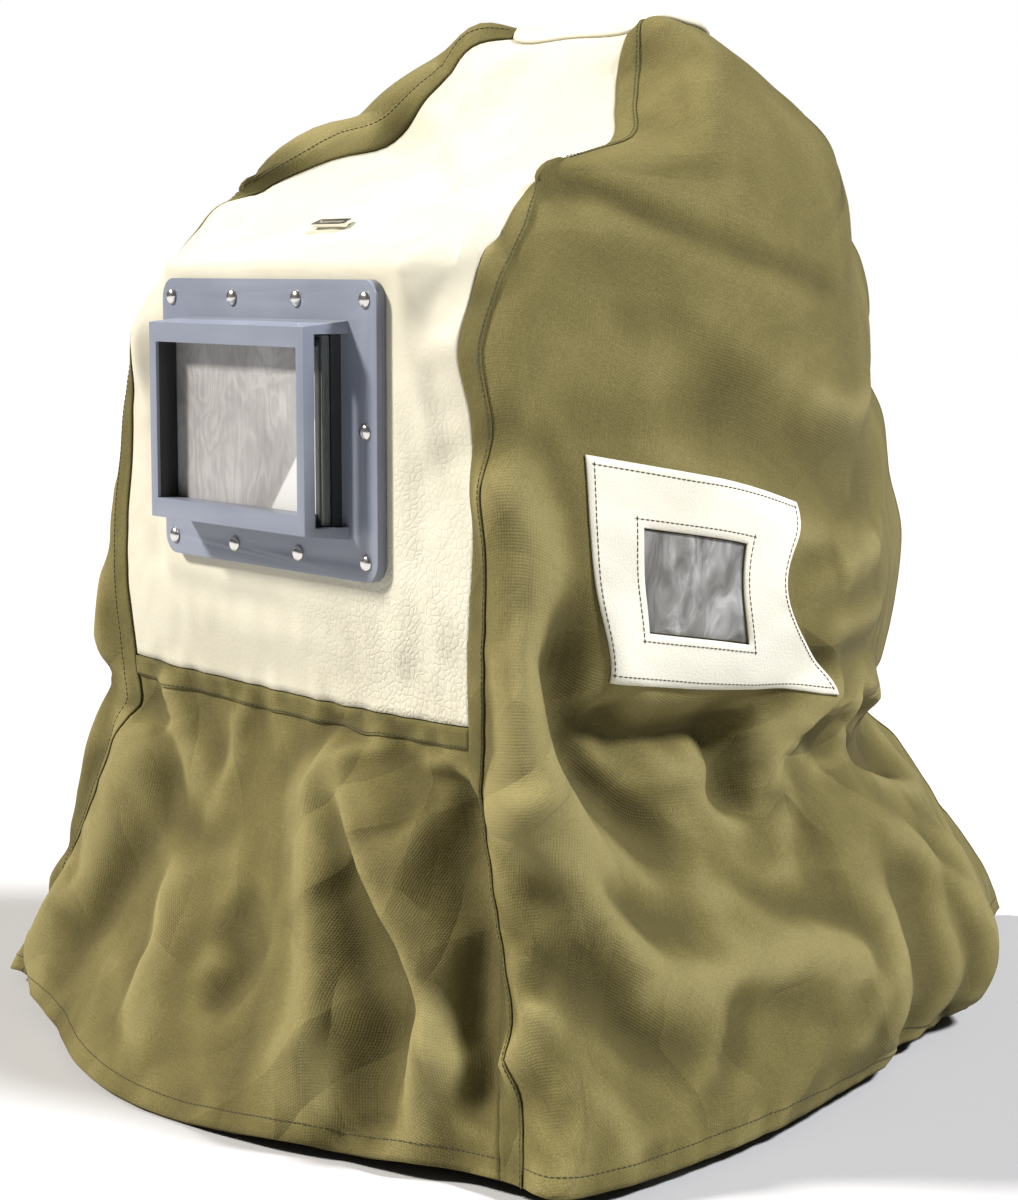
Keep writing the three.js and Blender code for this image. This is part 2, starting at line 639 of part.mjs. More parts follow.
function rivet(number, [x, z]) {
  const profile = [[0, clothGap], [rivetShankRadius, clothGap], [rivetShankRadius, frameThickness + 0.05],
    [rivetHeadRadius, frameThickness + 0.05]];
  for (const turn of [0.25, 0.6, 0.95]) {
    const angle = turn * Math.PI / 2;
    profile.push([rivetHeadRadius * Math.cos(angle),
      frameThickness + 0.3 + rivetHeadHeight * Math.sin(angle)]);
  }
  profile.push([0, frameThickness + 0.3 + rivetHeadHeight]);
  const head = new THREE.LatheGeometry(profile.map(([r, y]) => new THREE.Vector2(r, y)), 8);
  head.rotateX(Math.PI);
  head.translate(x, flangeBack, frameZ + z);
  return solid(`rivet_${String(number).padStart(2, '0')}`, head, brightMetal);
}

function foreheadEyelet() {
  const outline = roundedRectangle(eyeletLength, eyeletHeight, 2, new THREE.Shape());
  outline.holes.push(roundedRectangle(eyeletSlotLength, eyeletSlotHeight, 1, new THREE.Path()));
  const loop = new THREE.ExtrudeGeometry(outline, {
    depth: eyeletThickness, bevelEnabled: false, curveSegments: 3,
  });
  const row = rowOf(eyeletLevel);
  const column = columnOf(0);
  const [above, below] = [shellGrid[row - 1][column], shellGrid[row][column]];
  const up = above.clone().sub(below).normalize();
  const across = new THREE.Vector3(1, 0, 0);
  const out = across.clone().cross(up).normalize();
  const centre = above.clone().lerp(below, 0.5).addScaledVector(out, clothGap);
  loop.applyMatrix4(new THREE.Matrix4().makeBasis(across, up, out).setPosition(centre));
  return solid('forehead_eyelet', loop, brightMetal);
}

const frontSeam = columnOf(1);
const frontSeamRight = columnOf(-1);
const backColumn = columnOf(-4);
const between = (row, top, bottom) => row >= rowOf(top) && row < rowOf(bottom);
const onFace = (c) => c >= frontSeamRight && c < frontSeam;
const sideCell = (c, sign) => (sign > 0 ? c >= frontSeam : c < frontSeamRight);
const spans = (c, sign, from, to) => (sign > 0
  ? c >= columnOf(from) && c < columnOf(to)
  : c >= columnOf(-to) && c < columnOf(-from));
const inFaceHole = (r, c) => between(r, faceHole.top, faceHole.bottom)
  && c >= columnOf(-faceHole.turn) && c < columnOf(faceHole.turn);
const inClear = (r, c, sign) => between(r, clearTopLevel, clearBottomLevel)
  && spans(c, sign, ...patchInner);
const inPatch = (r, c, sign) => between(r, patchTopLevel, patchBottomLevel)
  && spans(c, sign, ...patchOuter);

const group = new THREE.Group();
group.name = 'sandblasting_hood';
const outerLow = clothGap;
group.add(sheet('face_panel', leather, -leatherThickness, 0,
  (r, c) => onFace(c) && between(r, 0, faceBottomLevel) && !inFaceHole(r, c)));
group.add(sheet('bib_panel', canvas, -canvasThickness, 0,
  (r, c) => onFace(c) && between(r, faceBottomLevel, hemLevel)));
group.add(sheet('bib_strip', canvasDark, outerLow, outerLow + stripThickness,
  (r, c) => onFace(c) && between(r, faceBottomLevel, bibStripBottomLevel)));
for (const [side, sign] of [['left', 1], ['right', -1]]) {
  group.add(sheet(`side_panel_${side}`, canvas, -canvasThickness, 0,
    (r, c) => sideCell(c, sign) && between(r, 0, hemLevel) && !inClear(r, c, sign)));
  group.add(sheet(`front_strip_${side}`, canvasDark, outerLow, outerLow + stripThickness,
    (r, c) => spans(c, sign, 1, stripTurn) && between(r, crownEdgeLevel, hemLevel)));
  group.add(sheet(`side_patch_${side}`, patchWhite, outerLow, outerLow + leatherThickness * 0.7,
    (r, c) => inPatch(r, c, sign) && !inClear(r, c, sign)));
  group.add(sheet(`side_window_${side}`, clearPlastic, -clearThickness, 0,
    (r, c) => inClear(r, c, sign)));
}
group.add(sheet('back_strip', canvasDark, outerLow, outerLow + stripThickness,
  (r, c) => c === backColumn && between(r, crownEdgeLevel, hemLevel)));
group.add(sheet('hem_band', canvasDark, -canvasThickness - clothGap - stripThickness,
  -canvasThickness - clothGap, (r) => between(r, hemTopLevel, hemLevel)));
group.add(sheet('crown_piece', leather, outerLow, outerLow + leatherThickness,
  (r) => r < rowOf(crownEdgeLevel), true));
group.add(windowFrame());
group.add(lens());
rivetSpots.forEach((spot, i) => group.add(rivet(i + 1, spot)));
group.add(foreheadEyelet());

export default group;
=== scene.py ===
import math

import bmesh
import bpy
import numpy as np
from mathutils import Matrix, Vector, noise


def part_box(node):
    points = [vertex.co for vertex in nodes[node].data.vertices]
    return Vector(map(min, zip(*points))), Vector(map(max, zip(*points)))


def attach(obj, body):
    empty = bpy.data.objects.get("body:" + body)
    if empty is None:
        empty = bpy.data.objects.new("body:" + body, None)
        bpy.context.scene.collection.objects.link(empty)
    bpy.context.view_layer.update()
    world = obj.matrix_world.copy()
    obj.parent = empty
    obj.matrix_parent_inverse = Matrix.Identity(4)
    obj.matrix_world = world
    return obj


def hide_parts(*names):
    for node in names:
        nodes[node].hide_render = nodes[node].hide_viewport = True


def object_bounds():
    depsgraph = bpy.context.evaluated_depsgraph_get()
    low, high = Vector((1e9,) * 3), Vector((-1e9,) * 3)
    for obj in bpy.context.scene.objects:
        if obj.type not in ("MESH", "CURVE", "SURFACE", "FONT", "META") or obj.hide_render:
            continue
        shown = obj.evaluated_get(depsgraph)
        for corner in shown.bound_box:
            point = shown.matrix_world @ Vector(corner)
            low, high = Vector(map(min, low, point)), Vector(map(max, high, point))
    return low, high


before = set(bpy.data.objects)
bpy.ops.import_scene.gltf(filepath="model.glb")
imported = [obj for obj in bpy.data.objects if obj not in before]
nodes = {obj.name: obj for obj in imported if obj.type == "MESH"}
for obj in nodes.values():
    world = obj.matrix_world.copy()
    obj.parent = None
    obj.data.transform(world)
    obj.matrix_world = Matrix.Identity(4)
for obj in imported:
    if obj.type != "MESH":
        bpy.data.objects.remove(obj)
cadBox = [list(corner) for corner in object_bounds()]
print("frame loaded")

# The hood's skin is one shape, and every sewn piece is a part of it. It is laid out by turn, which
# runs round from 0 at the front centre to 4 at the back seam, + on the wearer's left, and by level,
# which runs down from 0 at the crown's edge to 19 at the hem. Tables are shares, lengths millimetres.
skin = {
    "halfWidth": 220,
    "depth": 550,
    "height": 470,
    "stripWidth": 11,
    "frameWidth": 170,
    "frameHeight": 126,
    "frameDrop": 185,
    "seatMargin": 16,
    "crumpleHeight": 0.6,      # small wrinkles of the loose cape
    "crumpleSize": 46,
    "crownSoftening": 40,      # passes that even out the folds where the grid is tight
    "creaseSoftening": 2,
    "hemPucker": 1.6,
    "edgeGap": 0.08,
    "edgeRound": 0.45,
}
# columns: front y z, seam x y z, shoulder x y z
frontSections = [
    [-.047,  -.019,   .186,  -.049,  -.017,   .205,  -.036,  -.011],  # crown edge
    [-.095,  -.034,   .241,  -.085,  -.032,   .273,  -.075,  -.015],  # top 1
    [-.120,  -.066,   .259,  -.100,  -.068,   .314,  -.089,  -.062],  # top 2
    [-.145,  -.102,   .318,  -.122,  -.100,   .382,  -.113,  -.095],  # top 3
    [-.178,  -.136,   .400,  -.156,  -.136,   .464,  -.147,  -.130],  # top 4
    [-.218,  -.160,   .482,  -.243,  -.162,   .509,  -.251,  -.153],  # brow
    [-.265,  -.183,   .505,  -.278,  -.189,   .545,  -.269,  -.187],  # brow 2
    [-.311,  -.211,   .523,  -.305,  -.226,   .582,  -.291,  -.228],  # forehead
    [-.358,  -.249,   .545,  -.335,  -.272,   .614,  -.316,  -.274],  # visor top
    [-.369,  -.309,   .568,  -.356,  -.321,   .645,  -.335,  -.326],  # visor 1
    [-.369,  -.372,   .605,  -.356,  -.377,   .682,  -.342,  -.383],  # visor 2
    [-.369,  -.436,   .618,  -.356,  -.440,   .709,  -.347,  -.447],  # visor 3
    [-.369,  -.500,   .623,  -.360,  -.504,   .727,  -.353,  -.509],  # visor 4
    [-.365,  -.564,   .618,  -.362,  -.568,   .745,  -.356,  -.572],  # visor base
    [-.349,  -.653,   .605,  -.358,  -.645,   .764,  -.360,  -.640],  # bib top
    [-.356,  -.713,   .600,  -.355,  -.704,   .777,  -.364,  -.704],  # neck
    [-.382,  -.798,   .664,  -.367,  -.785,   .818,  -.369,  -.789],  # cape 1
    [-.418,  -.874,   .741,  -.378,  -.866,   .873,  -.376,  -.868],  # cape 2
    [-.471,  -.950,   .818,  -.396,  -.943,   .945,  -.386,  -.945],  # cape 3
    [-.515, -1.012,   .873,  -.413, -1.002,  1.005,  -.402, -1.004],  # hem
]
# columns: side x y z, rear quarter x y z, back seam y z
rearSections = [
    [.214,  -.011,  -.011,   .141,   .029,  -.011,   .073,  -.021],  # crown edge
    [.318,  -.036,  -.023,   .191,   .047,  -.036,   .116,  -.040],  # top 1
    [.436,  -.065,  -.053,   .309,   .055,  -.070,   .160,  -.060],  # top 2
    [.523,  -.093,  -.089,   .400,   .058,  -.109,   .200,  -.081],  # top 3
    [.595,  -.116,  -.132,   .468,   .058,  -.153,   .240,  -.111],  # top 4
    [.650,  -.138,  -.177,   .514,   .056,  -.202,   .256,  -.147],  # brow
    [.686,  -.153,  -.226,   .541,   .053,  -.253,   .251,  -.185],  # brow 2
    [.714,  -.162,  -.272,   .568,   .049,  -.304,   .287,  -.240],  # forehead
    [.741,  -.169,  -.317,   .591,   .047,  -.355,   .300,  -.296],  # visor top
    [.764,  -.175,  -.366,   .600,   .047,  -.411,   .289,  -.351],  # visor 1
    [.782,  -.178,  -.421,   .618,   .047,  -.470,   .320,  -.411],  # visor 2
    [.791,  -.182,  -.479,   .636,   .045,  -.530,   .331,  -.479],  # visor 3
    [.786,  -.185,  -.543,   .623,   .044,  -.585,   .349,  -.543],  # visor 4
    [.768,  -.189,  -.606,   .595,   .042,  -.632,   .342,  -.617],  # visor base
    [.736,  -.189,  -.662,   .564,   .047,  -.666,   .324,  -.687],  # bib top
    [.736,  -.189,  -.713,   .564,   .058,  -.709,   .298,  -.734],  # neck
    [.800,  -.200,  -.794,   .627,   .087,  -.785,   .353,  -.789],  # cape 1
    [.882,  -.211,  -.870,   .700,   .109,  -.866,   .415,  -.874],  # cape 2
    [.955,  -.225,  -.943,   .745,   .120,  -.943,   .476,  -.951],  # cape 3
    [.995,  -.240, -1.004,   .691,   .098, -1.004,   .502, -1.009],  # hem
]
# where the six stations stand round one half of a level
stationTurns = np.array([0, 1, 1.35, 2, 3, 4.0])

# The big folds: path of (turn, level), width and depth as shares of the height, and how sharp.
bigFolds = [
    ([(1.5, 5.5), (1.95, 5.95), (2.5, 6.1), (2.95, 6.33)], 0.024, -0.004, 1),
    ([(1.8, 8.6), (2.2, 9.3), (2.8, 9.7), (3.6, 9.8)], 0.075, -0.017, 0),
    ([(2.7, 11.2), (2.85, 10.9), (3.2, 10.7)], 0.04, 0.009, 1),
    ([(1.05, 10.2), (1.3, 10.9), (1.42, 11.8), (1.4, 13.6), (1.45, 14.8), (1.8, 16)], 0.05, 0.021, 0.3),
    ([(1.52, 11.7), (1.56, 13.4), (1.66, 14.3), (1.82, 15.1), (2.05, 15.8)], 0.062, -0.036, 0.4),
    ([(1.66, 13.5), (1.8, 14), (2.02, 14.1), (2.32, 13.8)], 0.04, -0.019, 0.4),
    ([(2.2, 13.7), (2.23, 14.7), (2.18, 15.5)], 0.042, -0.024, 0.2),
    ([(3.9, 14.7), (3.2, 14.2), (2.7, 13.8), (2.42, 14.6), (2.25, 15.6)], 0.05, 0.02, 0.4),
    ([(3.8, 15.8), (3.3, 15.3), (2.95, 14.6)], 0.055, -0.026, 0.2),
    ([(1.2, 14.2), (1.35, 15.2), (1.52, 15.8), (1.66, 16.5), (1.86, 17), (2.3, 17.1)], 0.06, 0.022, 0.4),
    ([(1.9, 15.9), (2.12, 16.6), (2.3, 17), (2.65, 17.6)], 0.056, 0.017, 0.5),
    ([(3.3, 16.2), (3.2, 17.6), (3.15, 19.2)], 0.075, 0.02, 0),
    ([(2.9, 16.2), (2.85, 17.6), (2.8, 19.2)], 0.07, -0.018, 0),
    ([(1.02, 17.7), (1.2, 17.4), (1.4, 16.8)], 0.034, 0.011, 1),
    ([(0.24, 14.2), (0.36, 16), (0.44, 17.25), (0.52, 19.3)], 0.095, 0.034, 0.9),
    ([(0.28, 14.2), (0.6, 16), (0.78, 17.1), (0.78, 17.6), (0.68, 18.7)], 0.06, 0.032, 0.9),
    ([(-0.45, 16.3), (-0.22, 17.2), (-0.15, 17.8), (0, 18.6)], 0.05, 0.015, 0.7),
    ([(-0.1, 16.6), (0.09, 17.1), (0.05, 17.8)], 0.045, -0.014, 0.3),
    ([(-0.8, 13.9), (-0.61, 15.1), (-0.32, 15.8)], 0.042, 0.012, 0.6),
    ([(-0.88, 14.7), (-0.84, 16), (-0.84, 17.6), (-0.86, 19.6)], 0.085, 0.036, 0),
    ([(0.9, 14.7), (0.92, 16), (0.93, 17.8)], 0.045, -0.018, 0.2),
    ([(0.6, 8.2), (0.75, 7.4), (0.98, 6.8)], 0.072, 0.015, 0.2),
    ([(-1.5, 6.3), (-2.1, 6.7), (-2.9, 6.5)], 0.024, -0.004, 1),
    ([(-1.9, 9.2), (-2.6, 9.8), (-3.5, 9.5)], 0.075, -0.017, 0),
    ([(-1.32, 13.9), (-1.6, 15.2), (-1.9, 17)], 0.07, -0.026, 0.2),
    ([(-3.9, 14.6), (-3.1, 14.1), (-2.5, 14.7), (-2.2, 16)], 0.052, 0.019, 0.4),
    ([(-2.55, 15.4), (-2.7, 17), (-2.8, 19.2)], 0.066, 0.02, 0.2),
    ([(-3.25, 15.4), (-3.3, 17.2), (-3.2, 19.2)], 0.075, -0.022, 0),
    ([(-1.52, 0.7), (-1.5, 2.2), (-1.46, 3.7), (-1.42, 5.3)], 0.095, 0.038, 0),
    ([(-0.86, 4.6), (-0.86, 6.3), (-0.87, 8.2), (-0.88, 10.2)], 0.055, 0.016, 0),
]
# Creases too fine for the plain model: path, width to the right and to the left as one walks it on
# the outside, height in millimetres, and how sharp.
fineCreases = [
    # bib: two tall tents and the crumpled patch between them
    ([(0.24, 14.2), (0.36, 16), (0.44, 17.25), (0.52, 19.2)], 62, 16, 9.0, 1),
    ([(0.28, 14.2), (0.6, 16), (0.78, 17.1), (0.78, 17.6), (0.66, 19)], 15, 30, 8.0, 1),
    ([(0.88, 14.4), (0.92, 15.6), (0.94, 16.9), (0.94, 18.4)], 14, 12, -5.0, 0.5),
    ([(0.95, 14.9), (0.75, 15.5), (0.6, 16.08)], 10, 13, 4.0, 1),
    ([(-0.39, 16.58), (-0.22, 17.17), (-0.17, 17.75), (-0.02, 18.33)], 14, 8, 4.5, 1),
    ([(-0.09, 16.75), (0.09, 17.08), (0.11, 17.6)], 12, 5, -2.6, 1),
    ([(-0.51, 17.58), (-0.25, 18.0), (-0.14, 18.25)], 8, 6, 2.5, 1),
    ([(-0.79, 13.92), (-0.61, 15.08), (-0.36, 15.58)], 14, 8, 3.0, 1),
    ([(-0.81, 15.42), (-0.59, 16.17), (-0.55, 16.67)], 10, 8, 2.5, 1),
    ([(-0.35, 14.35), (-0.3, 15.2), (-0.34, 16.2)], 10, 8, 2.0, 1),
    ([(0.5, 14.35), (0.56, 15.1)], 8, 7, 1.6, 1),
    ([(0.75, 17.3), (0.86, 18.1), (0.88, 18.8)], 9, 12, 3.0, 0.8),
    # wearer's left: the cape bunched under the hood's edge
    ([(1.53, 12.25), (1.58, 13.42), (1.66, 14.25), (1.81, 15.08), (2.0, 15.5)], 17, 9, -7.0, 0.9),
    ([(1.41, 12.25), (1.4, 13.58), (1.43, 14.75), (1.59, 15.42), (1.78, 16.0)], 13, 9, 5.0, 1),
    ([(1.66, 13.58), (1.78, 14.0), (2.01, 14.08), (2.28, 13.83)], 9, 7, -4.5, 0.9),
    ([(1.68, 13.83), (1.76, 14.67), (1.9, 15.25), (2.09, 15.5)], 14, 12, 5.0, 0.6),
    ([(2.2, 13.92), (2.23, 14.67), (2.18, 15.33)], 6, 18, -6.5, 0.7),
    ([(1.28, 14.58), (1.35, 15.17), (1.5, 15.75), (1.64, 16.5), (1.79, 16.92)], 9, 30, 5.0, 1),
    ([(1.56, 15.58), (1.69, 16.08), (1.81, 16.58)], 7, 8, -4.5, 1),
    ([(1.96, 16.08), (2.12, 16.58), (2.28, 17.0)], 9, 6, -4.0, 1),
    ([(1.79, 16.92), (2.09, 17.08), (2.38, 17.17), (2.61, 17.5)], 8, 26, 4.5, 1),
    ([(2.61, 17.5), (2.53, 17.92), (2.49, 18.42)], 8, 10, 3.5, 1),
    ([(2.38, 17.17), (2.44, 17.83), (2.49, 18.42)], 8, 7, 3.0, 1),
    ([(2.09, 17.08), (2.04, 17.67), (2.06, 18.08)], 13, 13, -4.0, 0.5),
    ([(1.01, 17.75), (1.18, 17.5), (1.35, 16.92)], 7, 6, 3.0, 1),
    ([(1.14, 17.33), (1.3, 17.58), (1.43, 17.83)], 6, 6, 2.6, 1),
    ([(1.12, 16.83), (1.35, 16.92), (1.43, 17.33)], 6, 5, 2.2, 1),
    ([(2.86, 13.08), (2.62, 13.67), (2.44, 14.42)], 22, 8, 6.0, 1),
    ([(3.09, 14.5), (3.08, 15.17), (3.7, 15.92)], 12, 12, -7.0, 0.6),
    ([(2.44, 14.42), (2.58, 15.08), (2.85, 15.33)], 7, 8, 3.5, 1),
    ([(2.46, 15.08), (2.45, 15.5), (2.33, 15.75)], 7, 7, 3.0, 1),
    ([(2.11, 15.67), (2.25, 16.08), (2.45, 16.17)], 8, 7, 3.0, 1),
    ([(2.29, 16.5), (2.44, 17.0), (2.61, 17.25)], 8, 7, 3.0, 1),
    ([(2.73, 17.17), (2.7, 17.42), (2.61, 17.5)], 6, 6, 2.4, 1),
    ([(1.5, 17.6), (1.62, 18.2), (1.64, 18.9)], 12, 9, 2.5, 0.8),
    ([(2.9, 15.9), (3.1, 16.8), (3.2, 18.0)], 16, 10, 4.0, 0.8),
    # wearer's left: the loose upper hood
    ([(1.4, 5.35), (1.74, 5.75), (1.96, 5.83), (2.6, 6.05)], 7, 4, -2.4, 1),
    ([(1.66, 7.67), (1.76, 7.83), (1.96, 7.58)], 18, 18, -1.2, 0),
    ([(1.49, 9.5), (1.71, 9.58), (1.95, 9.0)], 26, 22, -1.5, 0.1),
    ([(1.59, 6.83), (1.61, 6.58), (1.66, 6.5)], 6, 6, 1.5, 1),
    ([(2.36, 11.25), (2.71, 10.83), (3.0, 10.67)], 12, 7, -3.0, 1),
    ([(1.08, 4.3), (1.4, 5.0), (1.62, 5.9)], 22, 16, -2.5, 0.2),
    ([(2.5, 8.3), (2.9, 8.5), (3.4, 8.4)], 12, 9, 2.4, 0.8),
    ([(2.62, 12.2), (2.9, 12.0), (3.4, 12.2)], 12, 9, 3.0, 0.7),
    # wearer's right and back, which the photo doesn't show
    ([(-1.3, 12.4), (-1.4, 13.7), (-1.55, 15.2), (-1.8, 16.2)], 10, 15, 4.5, 1),
    ([(-1.6, 13.7), (-1.95, 14.1), (-2.4, 13.7)], 8, 9, -4.5, 0.9),
    ([(-2.3, 13.9), (-2.2, 14.9), (-1.95, 15.7)], 18, 8, -6.0, 0.8),
    ([(-2.6, 13.4), (-2.5, 14.6), (-2.75, 15.4)], 9, 18, 5.0, 1),
    ([(-1.5, 15.9), (-1.85, 16.8), (-2.5, 17.2)], 9, 24, 4.5, 1),
    ([(-2.5, 17.2), (-2.55, 18.1), (-2.5, 18.7)], 8, 9, 3.5, 1),
    ([(-3.1, 14.6), (-3.2, 15.6), (-3.6, 16.1)], 12, 14, -6.0, 0.6),
    ([(-3.0, 16.1), (-3.1, 17.2), (-3.3, 18.6)], 14, 10, 4.0, 0.8),
    ([(-1.6, 5.8), (-2.0, 6.1), (-2.6, 6.0)], 6, 10, -2.4, 1),
    ([(-2.4, 11.2), (-2.8, 10.9), (-3.3, 11.1)], 8, 12, -3.0, 1),
    ([(-1.12, 16.9), (-1.3, 17.3), (-1.46, 17.8)], 6, 7, 2.8, 1),
    # leather: broad soft bulges where it was pressed over the frame
    ([(0.65, 8.08), (0.67, 8.92), (0.73, 10.08), (0.79, 10.75)], 16, 13, 3.4, 0.1),
    ([(0.61, 8.33), (0.8, 7.67), (0.97, 7.1)], 13, 14, 3.2, 0.1),
    ([(-0.27, 5.58), (0.4, 6.58), (0.6, 6.08)], 16, 16, 3.0, 0.1),
    ([(0.55, 11.9), (0.75, 12.6), (0.92, 13.3)], 12, 9, 2.4, 0.4),
    ([(-0.72, 8.2), (-0.78, 9.4), (-0.75, 10.8)], 13, 16, 3.0, 0.1),
    ([(-0.5, 3.9), (-0.1, 4.7), (0.2, 5.6), (0.3, 6.4)], 24, 20, -6.0, 0.1),
    ([(0.35, 11.7), (0.55, 12.6), (0.62, 13.6)], 12, 14, 2.6, 0.3),
    ([(-0.85, 12.3), (-0.4, 12.9), (0.2, 13.0)], 14, 12, -2.4, 0.2),
    ([(-1.0, 2.6), (-1.0, 3.9), (-1.0, 4.8), (-1.0, 6.4)], 16, 44, -9.0, 0.2),
    ([(0.3, 14.8), (0.52, 16.2), (0.66, 17.2), (0.68, 17.8), (0.6, 18.9)], 26, 15, -8.0, 0.6),
]
# How far the side patch's front and rear edges lean from their turn, by level.
patchLean = np.array([[9.65, 0, 0], [10.2, 0, 0.02], [11.6, 0.02, -0.06], [13.25, 0.1, 0.3], [14.8, 0, 0]])

# Where the pieces meet, as levels and turns.
seamAt = {
    "frameHole": (9.1, 11.6, 0.4),          # top and bottom level, half its width in turns
    "patch": (10.2, 13.25, 1.6, 2.42),      # top and bottom level, front and rear turn
    "clear": (11.1, 12.5, 1.76, 2.15),
    "stripTurns": (1, 1.2),                 # front and rear edge of the front strips
    "backStripTurn": 3.945,
    "stripTop": 0.35,                       # the strips start under the crown piece's edge
    "bibStrip": (14, 14.33),                # its top is the leather's lower edge
    "hemBand": (18.7, 19),
}

# Grid lines: (turn or level, cells up to the next one). Cells are about 3 mm.
columnPlan = [(0, 17), (0.4, 11), (0.67, 14), (1, 5), (1.2, 5), (1.35, 11), (1.6, 7), (1.76, 16),
              (2.15, 11), (2.42, 22), (3, 52), (3.945, 4), (4, 0)]
rowPlan = [(0, 3), (0.35, 58), (9.1, 9), (10.2, 8), (11.1, 5), (11.6, 8), (12.5, 7), (13.25, 7),
           (14, 4), (14.33, 52), (18.7, 4), (19, 0)]


def smoothStep(t):
    c = np.clip(t, 0, 1)
    return c * c * (3 - 2 * c)


# A curve through values at uneven stations, with slopes shared between neighbours.
def curveThrough(stations, values, at, rows=None, startSlope=None):
    stations, values, at = (np.asarray(a, float) for a in (stations, values, at))
    gaps = np.diff(stations).reshape(-1, *[1] * (values.ndim - 1))
    steps = np.diff(values, axis=0) / gaps
    slopes = np.empty_like(values)
    slopes[0] = steps[0] if startSlope is None else startSlope
    slopes[-1] = steps[-1]
    slopes[1:-1] = (steps[:-1] * gaps[1:] + steps[1:] * gaps[:-1]) / (gaps[:-1] + gaps[1:])
    i = np.clip(np.searchsorted(stations, at, side="right") - 1, 0, len(stations) - 2)
    tail = values.ndim - 1 if rows is None else values.ndim - 2
    shape = at.shape + (1,) * tail
    span = (stations[i + 1] - stations[i]).reshape(shape)
    t = (at - stations[i]).reshape(shape) / span
    low, high = ((i,), (i + 1,)) if rows is None else ((i, rows), (i + 1, rows))
    t2, t3 = t * t, t * t * t
    return ((2 * t3 - 3 * t2 + 1) * values[low] + (t3 - 2 * t2 + t) * span * slopes[low]
            + (3 * t2 - 2 * t3) * values[high] + (t3 - t2) * span * slopes[high])


skinSize = np.array([skin["halfWidth"], skin["depth"], skin["height"]], float)
sections = np.array([[[0, f[0], f[1]], f[2:5], f[5:8], r[0:3], r[3:6], [0, r[6], r[7]]]
                     for f, r in zip(frontSections, rearSections)]) * skinSize
lastLevel = len(sections) - 1
levelRows = np.arange(len(sections))
seatY = sections[11, 0, 1]


# The skin without folds. turn is (rows, columns), level is (rows).
def smoothSkin(turn, level):
    stations = np.moveaxis(curveThrough(levelRows, sections, np.clip(level, 0, lastLevel)), 1, 0)
    start = np.zeros_like(stations[0])
    start[:, 0] = (stations[1, :, 0] - stations[0, :, 0]) * 1.15
    rows = np.arange(len(level))[:, None]
    point = curveThrough(stationTurns, stations, np.abs(turn), rows=rows, startSlope=start)
    outX = np.maximum(np.abs(point[..., 0]) - skin["frameWidth"] / 2 - 6, 0)
    outZ = np.maximum(np.abs(point[..., 2] + skin["frameDrop"]) - skin["frameHeight"] / 2 - 5, 0)
    held = smoothStep(1 - np.hypot(outX, outZ) / skin["seatMargin"]) * (np.abs(turn) <= 1)
    point[..., 0] *= np.where(turn < 0, -1, 1)
    point[..., 1] += (seatY - point[..., 1]) * held
    return point


def unit(v):
    return v / np.maximum(np.linalg.norm(v, axis=-1, keepdims=True), 1e-9)


def skinNormal(turn, level):
    side = np.where(turn < 0, -1, 1)
    size = np.abs(turn)
    ahead = smoothSkin(np.minimum(size + 0.04, 4) * side, level)
    behind = smoothSkin(np.maximum(size - 0.04, 0) * side, level)
    up = smoothSkin(turn, level - 0.04) - smoothSkin(turn, level + 0.04)
    return unit(np.cross((ahead - behind) * side[..., None], up))


# How high the folds stand at each point, in millimetres.
def foldHeights(points, normals, folds):
    height = np.zeros(len(points))
    for path, rightWidth, leftWidth, depth, sharp in folds:
        path = np.array(path, float)
        knots = np.arange(len(path))
        at = np.arange((len(path) - 1) * 6 + 1) / 6
        bend = curveThrough(knots, path, at)
        line = smoothSkin(bend[:, :1], bend[:, 1])[:, 0]
        reach = max(rightWidth, leftWidth)
        near = np.all((points > line.min(0) - reach) & (points < line.max(0) + reach), axis=1)
        spots = points[near]
        if not len(spots):
            continue
        step = np.diff(line, axis=0)
        away = spots[:, None] - line[:-1]
        t = np.clip((away * step).sum(-1) / (step ** 2).sum(-1), 0, 1)
        distance = np.linalg.norm(away - t[..., None] * step, axis=-1)
        best = distance.argmin(1)
        pick = np.arange(len(spots)), best
        turned = (np.cross(step[best], away[pick]) * normals[near]).sum(-1)
        x = np.minimum(distance[pick] / np.where(turned > 0, leftWidth, rightWidth), 1)
        along = (best + t[pick]) / len(step)
        soft = (1 - x * x) ** 2
        creased = (1 - x) ** 1.2
        ends = smoothStep(along / 0.22) * smoothStep((1 - along) / 0.22)
        height[near] += depth * (soft + (creased - soft) * sharp) * ends
    return height


def gridLines(plan):
    lines = []
    for (start, cells), (stop, _) in zip(plan, plan[1:]):
        lines += list(np.linspace(start, stop, cells, endpoint=False))
    return np.array(lines + [plan[-1][0]])


halfTurns = gridLines(columnPlan)
gridTurns = np.concatenate([-halfTurns[:0:-1], halfTurns])       # -4 .. 4, both ends are the back seam
gridLevels = gridLines(rowPlan)


